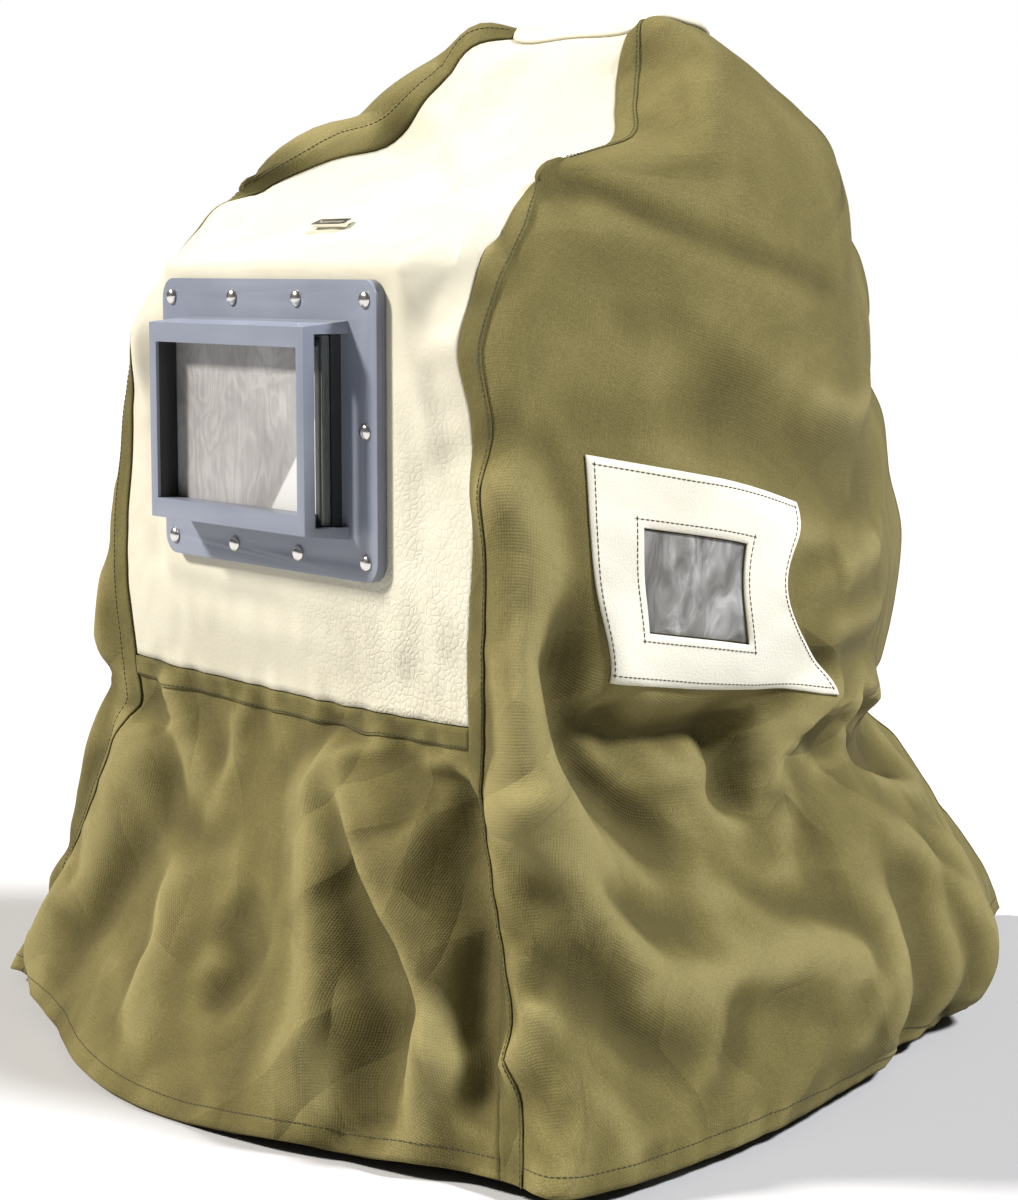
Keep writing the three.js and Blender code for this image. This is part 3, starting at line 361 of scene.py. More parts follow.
# The turn that a grid line really follows: strips keep their width and the patch's edges lean.
def ledTurns(turns, level):
    stations = curveThrough(levelRows, sections, np.clip(level, 0, lastLevel))
    run = np.linalg.norm(stations[:, 2] - stations[:, 1], axis=-1)[:, None]
    strip = 0.35 * np.minimum(skin["stripWidth"] / run, 0.8)
    size = np.abs(turns)[None, :] + np.zeros_like(run)
    inStrip = 1 + (size - 1) / 0.2 * strip
    pastStrip = 1 + strip + (size - 1.2) / 0.15 * (0.35 - strip)
    led = np.where(size <= 1, size, np.where(size <= 1.2, inStrip, np.where(size < 1.35, pastStrip, size)))
    inside = ((level > patchLean[0, 0]) & (level < patchLean[-1, 0]))[:, None]
    lean = curveThrough(patchLean[:, 0], patchLean[:, 1:], np.clip(level, 9.65, 14.8)) * inside
    frontWeight = np.clip(np.minimum((size - 1.35) / 0.25, (1.95 - size) / 0.35), 0, 1)
    rearWeight = np.clip(np.minimum((size - 2.02) / 0.4, (3.0 - size) / 0.58), 0, 1)
    led = led + lean[:, :1] * frontWeight + lean[:, 1:] * rearWeight
    return led * np.where(turns < 0, -1, 1)


gridTurn = ledTurns(gridTurns, gridLevels)
basePoints = smoothSkin(gridTurn, gridLevels)
pushNormals = skinNormal(gridTurn, gridLevels)
nearSeam = smoothStep((4 - np.abs(gridTurn)) / 0.12)
pushNormals[..., 0] *= nearSeam
pushNormals = unit(pushNormals)

flatPoints = basePoints.reshape(-1, 3)
flatNormals = pushNormals.reshape(-1, 3)
wideFolds = [(path, width * skin["height"], width * skin["height"], depth * skin["height"], sharp)
             for path, width, depth, sharp in bigFolds]
heights = foldHeights(flatPoints, flatNormals, wideFolds).reshape(basePoints.shape[:2])
creaseRise = foldHeights(flatPoints, flatNormals, fineCreases).reshape(basePoints.shape[:2])


# Averages each grid value with its four neighbours, round the ring.
def softened(field, times):
    for _ in range(times):
        padded = np.pad(field[:, :-1], ((1, 1), (0, 0)) + ((0, 0),) * (field.ndim - 2), mode="edge")
        ring = (padded[:-2] + padded[2:] + np.roll(field[:, :-1], 1, 1) + np.roll(field[:, :-1], -1, 1)) / 4
        field = np.concatenate([ring, ring[:, :1]], axis=1)
    return field


# the creases lose their steps, and near the crown, where the grid is tight, so do the big folds
heights += softened(creaseRise, skin["creaseSoftening"])
tight = 1 - smoothStep((gridLevels - 1.5) / 2.5)[:, None]
heights += (softened(heights, skin["crownSoftening"]) - heights) * tight


# Creased cotton: ridges where folded noise turns over, deeper low down where the cloth hangs free.
def crumple(points, size, seed):
    ridge = np.array([1 - abs(noise.noise(Vector(p) / size + Vector((seed, 0, 0)))) * 2.2 for p in points])
    return ridge ** 2 - 0.45


smallCrumple = skin["crumpleSize"] * 0.4
crumples = crumple(flatPoints, skin["crumpleSize"], 3.1) + 0.35 * crumple(flatPoints, smallCrumple, 7.7)
loose = 0.35 + 0.65 * smoothStep((gridLevels - 11) / 4)[:, None]
onLeather = (np.abs(gridTurns) < 1)[None, :] & (gridLevels < 14)[:, None]
loose = np.where(onLeather, 0.2, loose)
heights += crumples.reshape(heights.shape) * loose * skin["crumpleHeight"]
heights[:, 0] = heights[:, -1] = (heights[:, 0] + heights[:, -1]) / 2

# the hem puckers between its stitches
nearHem = smoothStep((gridLevels - 18.45) / 0.3)[:, None]
puckers = [noise.noise(Vector((t * 9, 0.4, 0))) + 0.6 * noise.noise(Vector((t * 21, 3.3, 0)))
           for t in gridTurns]
heights += nearHem * np.array(puckers)[None, :] * skin["hemPucker"]

# folds and wrinkles die away under the window frame's flange
outX = np.maximum(np.abs(basePoints[..., 0]) - skin["frameWidth"] / 2 - 4, 0)
outZ = np.maximum(np.abs(basePoints[..., 2] + skin["frameDrop"]) - skin["frameHeight"] / 2 - 4, 0)
free = np.where(np.abs(gridTurns)[None, :] <= 1, smoothStep(np.hypot(outX, outZ) / 20), 1)
heights *= free
skinPoints = basePoints + pushNormals * heights[..., None]
skinPoints[:, -1] = skinPoints[:, 0] = (skinPoints[:, -1] + skinPoints[:, 0]) / 2

# Cloth grows a little and buckles, as washed cotton does, held near its shape by springs.
drape = {
    "skip": 2,            # simulate on every second grid line
    "scale": 10,          # and at ten times the size, where the solver's steps suit it
    "growth": 0.04,
    "bending": 1.0,
    "hold": 0.12,         # how firmly the loose cloth keeps its place, from 0 to 1
    "leatherHold": 0.7,
    "seamHold": 0.8,
    "mass": 0.3,
    "stretch": 25,
    "shear": 8,
    "damping": 4,
    "quality": 6,
    "frames": 16,
    "widest": 34,         # mm, wrinkles wider than this stay as drawn
    "most": 2.3,          # mm
}


def crumpled(points):
    k = drape["skip"]
    rows = list(range(0, len(gridLevels) - 1, k)) + [len(gridLevels) - 1]
    columns = list(range(0, len(gridTurns) - 1, k))
    coarse = points[rows][:, columns] / 1000 * drape["scale"]
    height, width = len(rows), len(columns)
    number = np.arange(height * width).reshape(height, width)
    after = np.roll(number, -1, axis=1)
    quad = np.stack([number[:-1], number[1:], after[1:], after[:-1]], -1).reshape(-1, 4)
    mesh = bpy.data.meshes.new("looseCloth")
    mesh.from_pydata(coarse.reshape(-1, 3).tolist(), [], quad.tolist())
    loose = bpy.data.objects.new("looseCloth", mesh)
    bpy.context.collection.objects.link(loose)
    group = loose.vertex_groups.new(name="hold")
    level = gridLevels[rows]
    turnSize = np.abs(gridTurns[columns])
    hold = np.full((height, width), drape["hold"])
    hold[level < 0.6] = 1.0
    leather = (turnSize <= 1.02)[None, :] & (level <= 14.1)[:, None]
    hold[leather] = drape["leatherHold"]
    seam = np.minimum(np.abs(turnSize - 1.08), np.abs(turnSize - 4)) < 0.15
    hold[:, seam] = drape["seamHold"]
    hold[free[rows][:, columns] < 0.9] = 1.0
    for value in np.unique(hold):
        group.add([int(i) for i in number[hold == value]], float(value), "REPLACE")
    modifier = loose.modifiers.new("cloth", "CLOTH")
    settings = modifier.settings
    settings.quality = drape["quality"]
    settings.mass = drape["mass"]
    settings.tension_stiffness = settings.compression_stiffness = drape["stretch"]
    settings.shear_stiffness = drape["shear"]
    settings.bending_stiffness = drape["bending"]
    settings.air_damping = drape["damping"]
    settings.vertex_group_mass = "hold"
    settings.effector_weights.gravity = 0.0
    settings.shrink_min = settings.shrink_max = -drape["growth"]
    modifier.collision_settings.use_collision = False
    modifier.collision_settings.use_self_collision = False
    modifier.point_cache.frame_start = 1
    modifier.point_cache.frame_end = drape["frames"] + 1
    for step in range(1, drape["frames"] + 1):
        bpy.context.scene.frame_set(step)
    graph = bpy.context.evaluated_depsgraph_get()
    made = loose.evaluated_get(graph).to_mesh()
    flat = np.empty(len(made.vertices) * 3)
    made.vertices.foreach_get("co", flat)
    bpy.data.objects.remove(loose)
    bpy.context.scene.frame_set(1)
    moved = (flat.reshape(height, width, 3) - coarse) / drape["scale"] * 1000
    moved = np.concatenate([moved, moved[:, :1]], axis=1)
    columns.append(len(gridTurns) - 1)
    # back to the full grid, first down the columns and then along the rows
    allRows, allColumns = np.arange(len(gridLevels)), np.arange(len(gridTurns))
    down = np.stack([np.stack([np.interp(allRows, rows, moved[:, c, axis]) for axis in range(3)], -1)
                     for c in range(moved.shape[1])], 1)
    return np.stack([np.stack([np.interp(allColumns, columns, down[r, :, axis]) for axis in range(3)], -1)
                     for r in range(len(down))], 0)


moved = softened(crumpled(skinPoints), 1)
wideMoves = softened(moved, int((drape["widest"] / 3.2 / 2.6) ** 2))
fineMoves = moved - wideMoves
lengthOf = np.linalg.norm(fineMoves, axis=-1, keepdims=True)
seamGap = np.minimum(np.abs(np.abs(gridTurns) - 1.1), 4 - np.abs(gridTurns))
besideSeam = 0.25 + 0.75 * smoothStep(seamGap / 0.3)
lowDown = 0.45 + 0.55 * smoothStep((gridLevels - 12) / 3)[:, None]
loosened = free * besideSeam * lowDown
fineMoves *= np.minimum(1, drape["most"] / np.maximum(lengthOf, 1e-6)) * loosened[..., None]
skinPoints = skinPoints + fineMoves
print("cloth settled, most mm:", round(float(lengthOf.max()), 1))

# crest: +1 on a fold's ridge and -1 in its hollow. Ridges turn paler, partly for wear and partly as painted
# light, and hollows darker as painted shade. Heights are in millimetres.
heights = ((skinPoints - basePoints) * pushNormals).sum(-1)
fineCrest = (heights - softened(heights, 14)) / 1.6
broadCrest = (heights - softened(heights, 160)) / 6
crest = np.clip(0.7 * fineCrest + 0.35 * broadCrest, -1, 1)

# cloth lengths along the rows from the front centre and down the columns, for the weave
rowSteps = np.linalg.norm(np.diff(skinPoints, axis=1), axis=-1)
acrossCloth = np.concatenate([np.zeros((len(gridLevels), 1)), np.cumsum(rowSteps, axis=1)], axis=1)
acrossCloth -= acrossCloth[:, [len(halfTurns) - 1]]
downSteps = np.linalg.norm(np.diff(skinPoints, axis=0), axis=-1)
downCloth = np.concatenate([np.zeros((1, len(gridTurns))), np.cumsum(downSteps, axis=0)], axis=0)


# Outward directions of a ring grid whose last column repeats the first.
def gridNormals(points):
    p, q = points[:-1, :-1], points[1:, :-1]
    s, t = points[1:, 1:], points[:-1, 1:]
    face = unit(np.cross(s - p, t - q))
    total = np.zeros_like(points)
    total[:-1, :-1] += face
    total[1:, :-1] += face
    total[1:, 1:] += face
    total[:-1, 1:] += face
    total[:, 0] = total[:, -1] = total[:, 0] + total[:, -1]
    return unit(total)


skinNormals = gridNormals(skinPoints)
print("skin laid out:", skinPoints.shape[:2])


# sRGB hex to the linear colour that nodes take
def linear(code):
    parts = [int(code[i:i + 2], 16) / 255 for i in (0, 2, 4)]
    return [c / 12.92 if c <= 0.04045 else ((c + 0.055) / 1.055) ** 2.4 for c in parts] + [1.0]


# Gives a node its inputs, by name or as i0, i1 ... by number. Each is a value, another node, whose
# first output is taken, or one output socket.
def feed(tree, node, **inputs):
    for key, value in inputs.items():
        byNumber = key[0] == "i" and key[1:].isdigit()
        socket = node.inputs[int(key[1:]) if byNumber else key.replace("_", " ")]
        if isinstance(value, bpy.types.Node):
            value = value.outputs[0]
        if isinstance(value, bpy.types.NodeSocket):
            tree.links.new(value, socket)
        else:
            socket.default_value = value


def addNode(tree, kind, settings=None, **inputs):
    node = tree.nodes.new(kind)
    for key, value in (settings or {}).items():
        setattr(node, key, value)
    feed(tree, node, **inputs)
    return node


# A wave texture's scale for bands that are so many millimetres apart.
def bandScale(apart):
    return 2 * math.pi / 20 / (apart / 1000)


def newMaterial(name):
    material = bpy.data.materials.new(name)
    material.use_nodes = True
    tree = material.node_tree
    shader = tree.nodes["Principled BSDF"]
    return material, tree, shader


def setRamp(node, stops):
    ramp = node.color_ramp
    while len(ramp.elements) < len(stops):
        ramp.elements.new(0.5)
    for element, (place, colour) in zip(ramp.elements, stops):
        element.position = place
        element.color = colour
    return node


# Cotton duck: a plain weave of thick dull threads, dyed olive. Dusty fuzz at grazing angles, threads
# that vary in weight, paler on fold ridges, partly where they rub and partly as painted light, and darker in
# the hollows as painted shade.
def cottonDuck(name, colours, look):
    material, tree, shader = newMaterial(name)
    place = addNode(tree, "ShaderNodeTexCoord")
    cloth = place.outputs["UV"]
    solidPlace = place.outputs["Object"]
    blotch = addNode(tree, "ShaderNodeTexNoise", Vector=solidPlace, Scale=1000 / look["blotch"],
                     Detail=4.0, Roughness=0.6)
    slubAcross = addNode(tree, "ShaderNodeMapping", Vector=cloth, Scale=(1000 / 22, 1000 / look["thread"], 1))
    slubDown = addNode(tree, "ShaderNodeMapping", Vector=cloth, Scale=(1000 / look["thread"], 1000 / 22, 1))
    slubA = addNode(tree, "ShaderNodeTexNoise", Vector=slubAcross, Scale=1.0, Detail=2.0)
    slubD = addNode(tree, "ShaderNodeTexNoise", Vector=slubDown, Scale=1.0, Detail=2.0)
    slub = addNode(tree, "ShaderNodeMath", {"operation": "ADD"}, i0=slubA.outputs["Fac"],
                   i1=slubD.outputs["Fac"])
    # crest attribute: lighter on ridges, partly wear and partly painted light, darker in hollows as painted
    # shade
    wornAndLit = addNode(tree, "ShaderNodeAttribute", {"attribute_name": "crest"})
    wearAndShading = addNode(tree, "ShaderNodeMapRange", Value=wornAndLit.outputs["Fac"], From_Min=-1.0, From_Max=1.0,
                   To_Min=-look["wearAndShading"], To_Max=look["wearAndShading"])
    speckle = addNode(tree, "ShaderNodeTexNoise", Vector=solidPlace, Scale=1000 / look["speckle"], Detail=1.0)
    tone = addNode(tree, "ShaderNodeMath", {"operation": "MULTIPLY_ADD"}, i0=blotch.outputs["Fac"], i1=0.5,
                   i2=wearAndShading)
    toneB = addNode(tree, "ShaderNodeMath", {"operation": "MULTIPLY_ADD"}, i0=slub, i1=0.12, i2=tone)
    toneC = addNode(tree, "ShaderNodeMath", {"operation": "MULTIPLY_ADD"}, i0=speckle.outputs["Fac"],
                    i1=0.3, i2=toneB)
    # the cloth's colour: its dyed tone, blotches and threads, with the crest's painted light and shade
    clothColourAndShading = setRamp(addNode(tree, "ShaderNodeValToRGB", i0=toneC),
                  [(0.28, linear(colours["shade"])), (0.52, linear(colours["body"])),
                   (0.8, linear(colours["wornAndLit"]))])
    # a plain weave: two bands of waves, one for each set of threads
    weaveScale = bandScale(look["weave"])
    warp = addNode(tree, "ShaderNodeTexWave", {"bands_direction": "X"}, Vector=cloth, Scale=weaveScale,
                   Distortion=0.3, Detail=1.0)
    weft = addNode(tree, "ShaderNodeTexWave", {"bands_direction": "Y"}, Vector=cloth, Scale=weaveScale,
                   Distortion=0.6, Detail=1.0)
    weave = addNode(tree, "ShaderNodeMath", {"operation": "MULTIPLY"}, i0=warp.outputs["Fac"],
                    i1=weft.outputs["Fac"])
    relief = addNode(tree, "ShaderNodeMath", {"operation": "MULTIPLY_ADD"}, i0=slub, i1=0.4, i2=weave)
    bump = addNode(tree, "ShaderNodeBump", Height=relief, Strength=look["relief"], Distance=0.0004)
    # small sharp creases, as cotton keeps them from being folded in a box, more of them low down
    height = addNode(tree, "ShaderNodeSeparateXYZ", Vector=solidPlace)
    lowDown = addNode(tree, "ShaderNodeMapRange", Value=height.outputs["Z"], From_Min=-0.2, From_Max=-0.34,
                      To_Min=0.45, To_Max=1.0)
    total = None
    for angle, apart, rise in look["creases"]:
        turned = addNode(tree, "ShaderNodeMapping", Vector=cloth, Rotation=(0, 0, math.radians(angle)))
        wave = addNode(tree, "ShaderNodeTexWave", {"wave_profile": "TRI"}, Vector=turned,
                       Scale=bandScale(apart),
                       Distortion=5.0, Detail=2.0, Detail_Scale=0.7, Phase_Offset=angle)
        patches = addNode(tree, "ShaderNodeTexNoise", Vector=turned, Scale=1000 / apart / 1.6, Detail=1.0)
        shown = addNode(tree, "ShaderNodeMapRange", {"interpolation_type": "SMOOTHSTEP"},
                        Value=patches.outputs["Fac"],
                        From_Min=0.4, From_Max=0.65, To_Max=rise / 1000)
        part = addNode(tree, "ShaderNodeMath", {"operation": "MULTIPLY"}, i0=wave.outputs["Fac"], i1=shown)
        total = part if total is None else addNode(tree, "ShaderNodeMath", {"operation": "ADD"}, i0=total,
                                                   i1=part)
    creased = addNode(tree, "ShaderNodeMath", {"operation": "MULTIPLY"}, i0=total, i1=lowDown)
    creaseBump = addNode(tree, "ShaderNodeBump", Height=creased, Strength=1.0, Distance=look["creasing"],
                         Normal=bump)
    feed(tree, shader, Base_Color=clothColourAndShading, Normal=creaseBump, Roughness=0.92, Specular_IOR_Level=0.25,
         Sheen_Weight=look["sheen"], Sheen_Roughness=0.5, Sheen_Tint=linear(colours["wornAndLit"]))
    return material


canvasLook = {
    "thread": 0.9,      # mm, a thread's width
    "weave": 1.3,       # mm, drawn coarser than the real 0.7 so that it shows
    "speckle": 0.9,
    "creases": [(20, 70, 5.5), (75, 95, 6.5), (130, 60, 4.5)],     # slant, mm apart, mm high
    "creasing": 1.0,
    "blotch": 110,
    "wearAndShading": 0.22,
    "relief": 0.32,
    "sheen": 0.03,
}
# the dark stop is reached in the hollows as painted shade, the pale stop on the ridges through wear and
# painted light, and the blotches reach both
canvasColours = {"shade": "4d4625", "body": "645c34", "wornAndLit": "80774c"}
stripColours = {"shade": "4a4424", "body": "5f5831", "wornAndLit": "7a7146"}
canvasDuck = cottonDuck("olive_cotton_duck", canvasColours, canvasLook)
stripDuck = cottonDuck("folded_cotton_strip", stripColours, dict(canvasLook, blotch=40, wearAndShading=0.3))


# Split leather, embossed with a pebble grain and coated cream: a soft waxy gloss on the pebbles.
def pebbledLeather(name, colours, look):
    material, tree, shader = newMaterial(name)
    place = addNode(tree, "ShaderNodeTexCoord")
    cloth = place.outputs["UV"]
    warpNoise = addNode(tree, "ShaderNodeTexNoise", Vector=cloth, Scale=1000 / 7, Detail=2.0)
    warpBy = addNode(tree, "ShaderNodeVectorMath", {"operation": "SCALE"}, i0=warpNoise.outputs["Color"],
                     Scale=look["warp"] / 1000)
    bent = addNode(tree, "ShaderNodeVectorMath", {"operation": "ADD"}, i0=cloth, i1=warpBy)
    pebbles = addNode(tree, "ShaderNodeTexVoronoi", {"feature": "DISTANCE_TO_EDGE"}, Vector=bent,
                      Scale=1000 / look["pebble"])
    domes = addNode(tree, "ShaderNodeMapRange", {"interpolation_type": "SMOOTHSTEP"},
                    Value=pebbles.outputs["Distance"],
                    From_Min=0.0, From_Max=0.22)
    fine = addNode(tree, "ShaderNodeTexNoise", Vector=cloth, Scale=1000 / 1.1, Detail=3.0)
    # the grain was pressed flat near the crown and stands up lower down, most on the wearer's left
    height = addNode(tree, "ShaderNodeSeparateXYZ", Vector=place.outputs["Object"])
    lower = addNode(tree, "ShaderNodeMapRange", Value=height.outputs["Z"],
                    From_Min=look["grainFrom"][0], From_Max=look["grainFrom"][1])
    leftward = addNode(tree, "ShaderNodeMapRange", Value=height.outputs["X"],
                       From_Min=look["grainAcross"][0], From_Max=look["grainAcross"][1], To_Min=0.12)
    embossed = addNode(tree, "ShaderNodeMath", {"operation": "MULTIPLY_ADD"}, i0=lower, i1=leftward, i2=0.04)
    grain = addNode(tree, "ShaderNodeMath", {"operation": "MULTIPLY"}, i0=domes, i1=embossed)
    relief = addNode(tree, "ShaderNodeMath", {"operation": "MULTIPLY_ADD"}, i0=fine.outputs["Fac"],
                     i1=0.25, i2=grain)
    # long shallow wrinkles where the leather was folded
    creaseMap = addNode(tree, "ShaderNodeMapping", Vector=cloth, Rotation=(0, 0, 0.9),
                        Scale=(1000 / look["wrinkle"][0], 1000 / look["wrinkle"][1], 1))
    crease = addNode(tree, "ShaderNodeTexNoise", Vector=creaseMap, Scale=1.0, Detail=1.0, Distortion=0.3)
    grainBump = addNode(tree, "ShaderNodeBump", Height=relief, Strength=look["relief"], Distance=0.0005)
    creaseBump = addNode(tree, "ShaderNodeBump", Height=crease.outputs["Fac"], Strength=0.35,
                         Distance=0.005, Normal=grainBump)
    blotch = addNode(tree, "ShaderNodeTexNoise", Vector=place.outputs["Object"], Scale=1000 / 70, Detail=3.0)
    tone = addNode(tree, "ShaderNodeMath", {"operation": "MULTIPLY_ADD"}, i0=grain, i1=0.15,
                   i2=blotch.outputs["Fac"])
    coat = setRamp(addNode(tree, "ShaderNodeValToRGB", i0=tone),
                   [(0.3, linear(colours["pit"])), (0.65, linear(colours["body"])),
                    (0.95, linear(colours["top"]))])
    shine = addNode(tree, "ShaderNodeMapRange", Value=relief, From_Min=0.0, From_Max=1.2, To_Min=0.62,
                    To_Max=0.46)
    feed(tree, shader, Normal=creaseBump, Base_Color=coat, Roughness=shine, Specular_IOR_Level=0.4,
         Subsurface_Weight=0.06, Subsurface_Radius=(0.004, 0.003, 0.002), Subsurface_Scale=1.0)
    return material


leatherLook = {
    "pebble": 3.4,               # mm across a pebble
    "warp": 4.0,                 # mm its edges wander
    "relief": 0.38,
    "wrinkle": (70, 30),         # mm along and across a shallow wrinkle
    "grainFrom": (-0.14, -0.26),         # the grain stands up between these heights, in metres
    "grainAcross": (0.0, 0.08),
}
patchLook = dict(leatherLook, pebble=1.6, warp=1.2, relief=0.18)
creamColours = {"pit": "b7b29f", "body": "c4c0ad", "top": "cecab9"}
patchColours = {"pit": "cdc9b8", "body": "dad7c7", "top": "e2dfd1"}
creamLeather = pebbledLeather("embossed_cream_split_leather", creamColours, leatherLook)
patchLeather = pebbledLeather("smooth_patch_leather", patchColours, patchLook)


# Where the housing is painted in shade, in metres: the middle and half reach of each stretch. The lens's
# mouth and the aperture's far wall get painted shade, near black, where shadow falls.
paintedHousingShade = {
    "height": (-0.185, 0.0405),
    "mouthDepth": (-0.2109, 0.0027),
    "mouthFrom": 0.0585,               # the wall at the lens's mouth, along X
    "apertureWall": (-0.0565, 0.0012),
    "behindEdge": -0.2275,             # the aperture's front edge stays light
}


# ABS, injection moulded in blue grey with a fine matt texture: soft wide highlights.
def mouldedPlastic():
    material, tree, shader = newMaterial("moulded_grey_abs")
    place = addNode(tree, "ShaderNodeTexCoord").outputs["Object"]
    spark = addNode(tree, "ShaderNodeTexNoise", Vector=place, Scale=1000 / 0.8, Detail=2.0)
    flow = addNode(tree, "ShaderNodeTexNoise", Vector=place, Scale=1000 / 60, Detail=3.0)
    colour = setRamp(addNode(tree, "ShaderNodeValToRGB", i0=flow.outputs["Fac"]),
                     [(0.3, linear("6f7583")), (0.7, linear("7a808d"))])
    # painted shade: near black within the mouth that the lens slides through, and down the aperture's far
    # side, where shadow falls
    apart = addNode(tree, "ShaderNodeSeparateXYZ", Vector=place)
    x, y, z = (apart.outputs[axis] for axis in "XYZ")
    shade = paintedHousingShade
    inHeight = addNode(tree, "ShaderNodeMath", {"operation": "COMPARE"},
                       i0=z, i1=shade["height"][0], i2=shade["height"][1])
    inDepth = addNode(tree, "ShaderNodeMath", {"operation": "COMPARE"},
                      i0=y, i1=shade["mouthDepth"][0], i2=shade["mouthDepth"][1])
    rightWall = addNode(tree, "ShaderNodeMath", {"operation": "GREATER_THAN"}, i0=x, i1=shade["mouthFrom"])
    leftWall = addNode(tree, "ShaderNodeMath", {"operation": "COMPARE"},
                       i0=x, i1=shade["apertureWall"][0], i2=shade["apertureWall"][1])
    behindEdge = addNode(tree, "ShaderNodeMath", {"operation": "GREATER_THAN"}, i0=y, i1=shade["behindEdge"])
    mouth = addNode(tree, "ShaderNodeMath", {"operation": "MULTIPLY"}, i0=rightWall, i1=inDepth)
    aperture = addNode(tree, "ShaderNodeMath", {"operation": "MULTIPLY"}, i0=leftWall, i1=behindEdge)
    either = addNode(tree, "ShaderNodeMath", {"operation": "MAXIMUM"}, i0=mouth, i1=aperture)
    # painted shade: where the mask is set, near black replaces the grey plastic's colour
    dark = addNode(tree, "ShaderNodeMath", {"operation": "MULTIPLY"}, i0=either, i1=inHeight)
    paintedShadeColour = addNode(tree, "ShaderNodeMix", {"data_type": "RGBA"}, i0=dark, i6=colour, i7=linear("1c1e20"))
    bump = addNode(tree, "ShaderNodeBump", Height=spark.outputs["Fac"], Strength=0.12, Distance=0.0002)
    rough = addNode(tree, "ShaderNodeMapRange", Value=flow.outputs["Fac"], To_Min=0.34, To_Max=0.46)
    feed(tree, shader, Base_Color=paintedShadeColour.outputs[2], Normal=bump, Roughness=rough, IOR=1.54)
    return material


# Float glass, a little green, with clean ground edges.
def windowGlass():
    material, tree, shader = newMaterial("float_glass")
    place = addNode(tree, "ShaderNodeTexCoord").outputs["Object"]
    dust = addNode(tree, "ShaderNodeTexNoise", Vector=place, Scale=1000 / 25, Detail=6.0)
    rough = addNode(tree, "ShaderNodeMapRange", Value=dust.outputs["Fac"], To_Min=0.02, To_Max=0.12)
    feed(tree, shader, Roughness=rough, Base_Color=linear("c9d6cf"), Transmission_Weight=0.85, IOR=1.52)
    return material


# The film's peeled corner, in metres on the film: across from, to, and up from, to; and the edge past which
# the film lies in the lens's slot and is painted in shade.
peeledCorner = {"across": (0.017, 0.041), "up": (-0.223, -0.195), "edge": 0.0545}


# Protective polythene film, milky and drawn tight in one direction, so it ripples in long streaks.
def greyFilm():
    material, tree, shader = newMaterial("milky_polythene_film")
    place = addNode(tree, "ShaderNodeTexCoord").outputs["UV"]
    # contours of a long soft noise run like the grain of a plank
    drawn = addNode(tree, "ShaderNodeMapping", Vector=place, Scale=(1000 / 30, 1000 / 60, 1))
    pull = addNode(tree, "ShaderNodeTexNoise", Vector=drawn, Scale=1.0, Detail=4.0, Roughness=0.5,
                   Distortion=0.6)
    many = addNode(tree, "ShaderNodeMath", {"operation": "MULTIPLY"}, i0=pull.outputs["Fac"], i1=70.0)
    contour = addNode(tree, "ShaderNodeMath", {"operation": "SINE"}, i0=many)
    fineDrawn = addNode(tree, "ShaderNodeMapping", Vector=place, Scale=(1000 / 2.2, 1000 / 30, 1))
    scratch = addNode(tree, "ShaderNodeTexNoise", Vector=fineDrawn, Scale=1.0, Detail=3.0)
    cloud = addNode(tree, "ShaderNodeTexNoise", Vector=place, Scale=1000 / 40, Detail=3.0)
    veil = addNode(tree, "ShaderNodeMath", {"operation": "MULTIPLY_ADD"}, i0=scratch.outputs["Fac"],
                   i1=0.35, i2=cloud.outputs["Fac"])
    both = addNode(tree, "ShaderNodeMath", {"operation": "MULTIPLY_ADD"}, i0=contour, i1=0.07, i2=veil)
    colour = setRamp(addNode(tree, "ShaderNodeValToRGB", i0=both),
                     [(0.4, linear("7e7c7a")), (0.68, linear("93918f")), (0.95, linear("a9a7a5"))])
    # the lower corner has peeled and is painted pale where it catches the light, a painted highlight; past
    # the edge, in the lens's slot, the film is painted near black as painted shade
    apart = addNode(tree, "ShaderNodeSeparateXYZ", Vector=place)
    up, across = peeledCorner["up"], peeledCorner["across"]
    risen = addNode(tree, "ShaderNodeMapRange", {"clamp": False},
                    Value=apart.outputs["Y"], From_Min=up[0], From_Max=up[1])
    over = addNode(tree, "ShaderNodeMapRange", {"clamp": False},
                   Value=apart.outputs["X"], From_Min=across[0], From_Max=across[1])
    beyond = addNode(tree, "ShaderNodeMath", {"operation": "SUBTRACT"}, i0=over, i1=risen)
    lifted = addNode(tree, "ShaderNodeMapRange", Value=beyond, From_Min=0.0, From_Max=0.06)
    inSight = addNode(tree, "ShaderNodeMath", {"operation": "LESS_THAN"}, i0=apart.outputs["X"],
                      i1=peeledCorner["edge"])
    shown = addNode(tree, "ShaderNodeMath", {"operation": "MULTIPLY"}, i0=lifted, i1=inSight)
    # painted shade: past the edge the film, inside the lens's slot, is painted near black
    slotShadeTone = addNode(tree, "ShaderNodeMix", {"data_type": "RGBA"}, i0=inSight, i6=linear("3c3d3c"),
                       i7=colour)
    # painted highlight: the peeled corner is painted pale
    peelHighlight = addNode(tree, "ShaderNodeMix", {"data_type": "RGBA"}, i0=shown, i6=slotShadeTone.outputs[2],
                     i7=linear("c4c4c1"))
    bump = addNode(tree, "ShaderNodeBump", Height=both, Strength=0.4, Distance=0.0008)
    feed(tree, shader, Base_Color=peelHighlight.outputs[2], Normal=bump, Roughness=0.3)
    return material


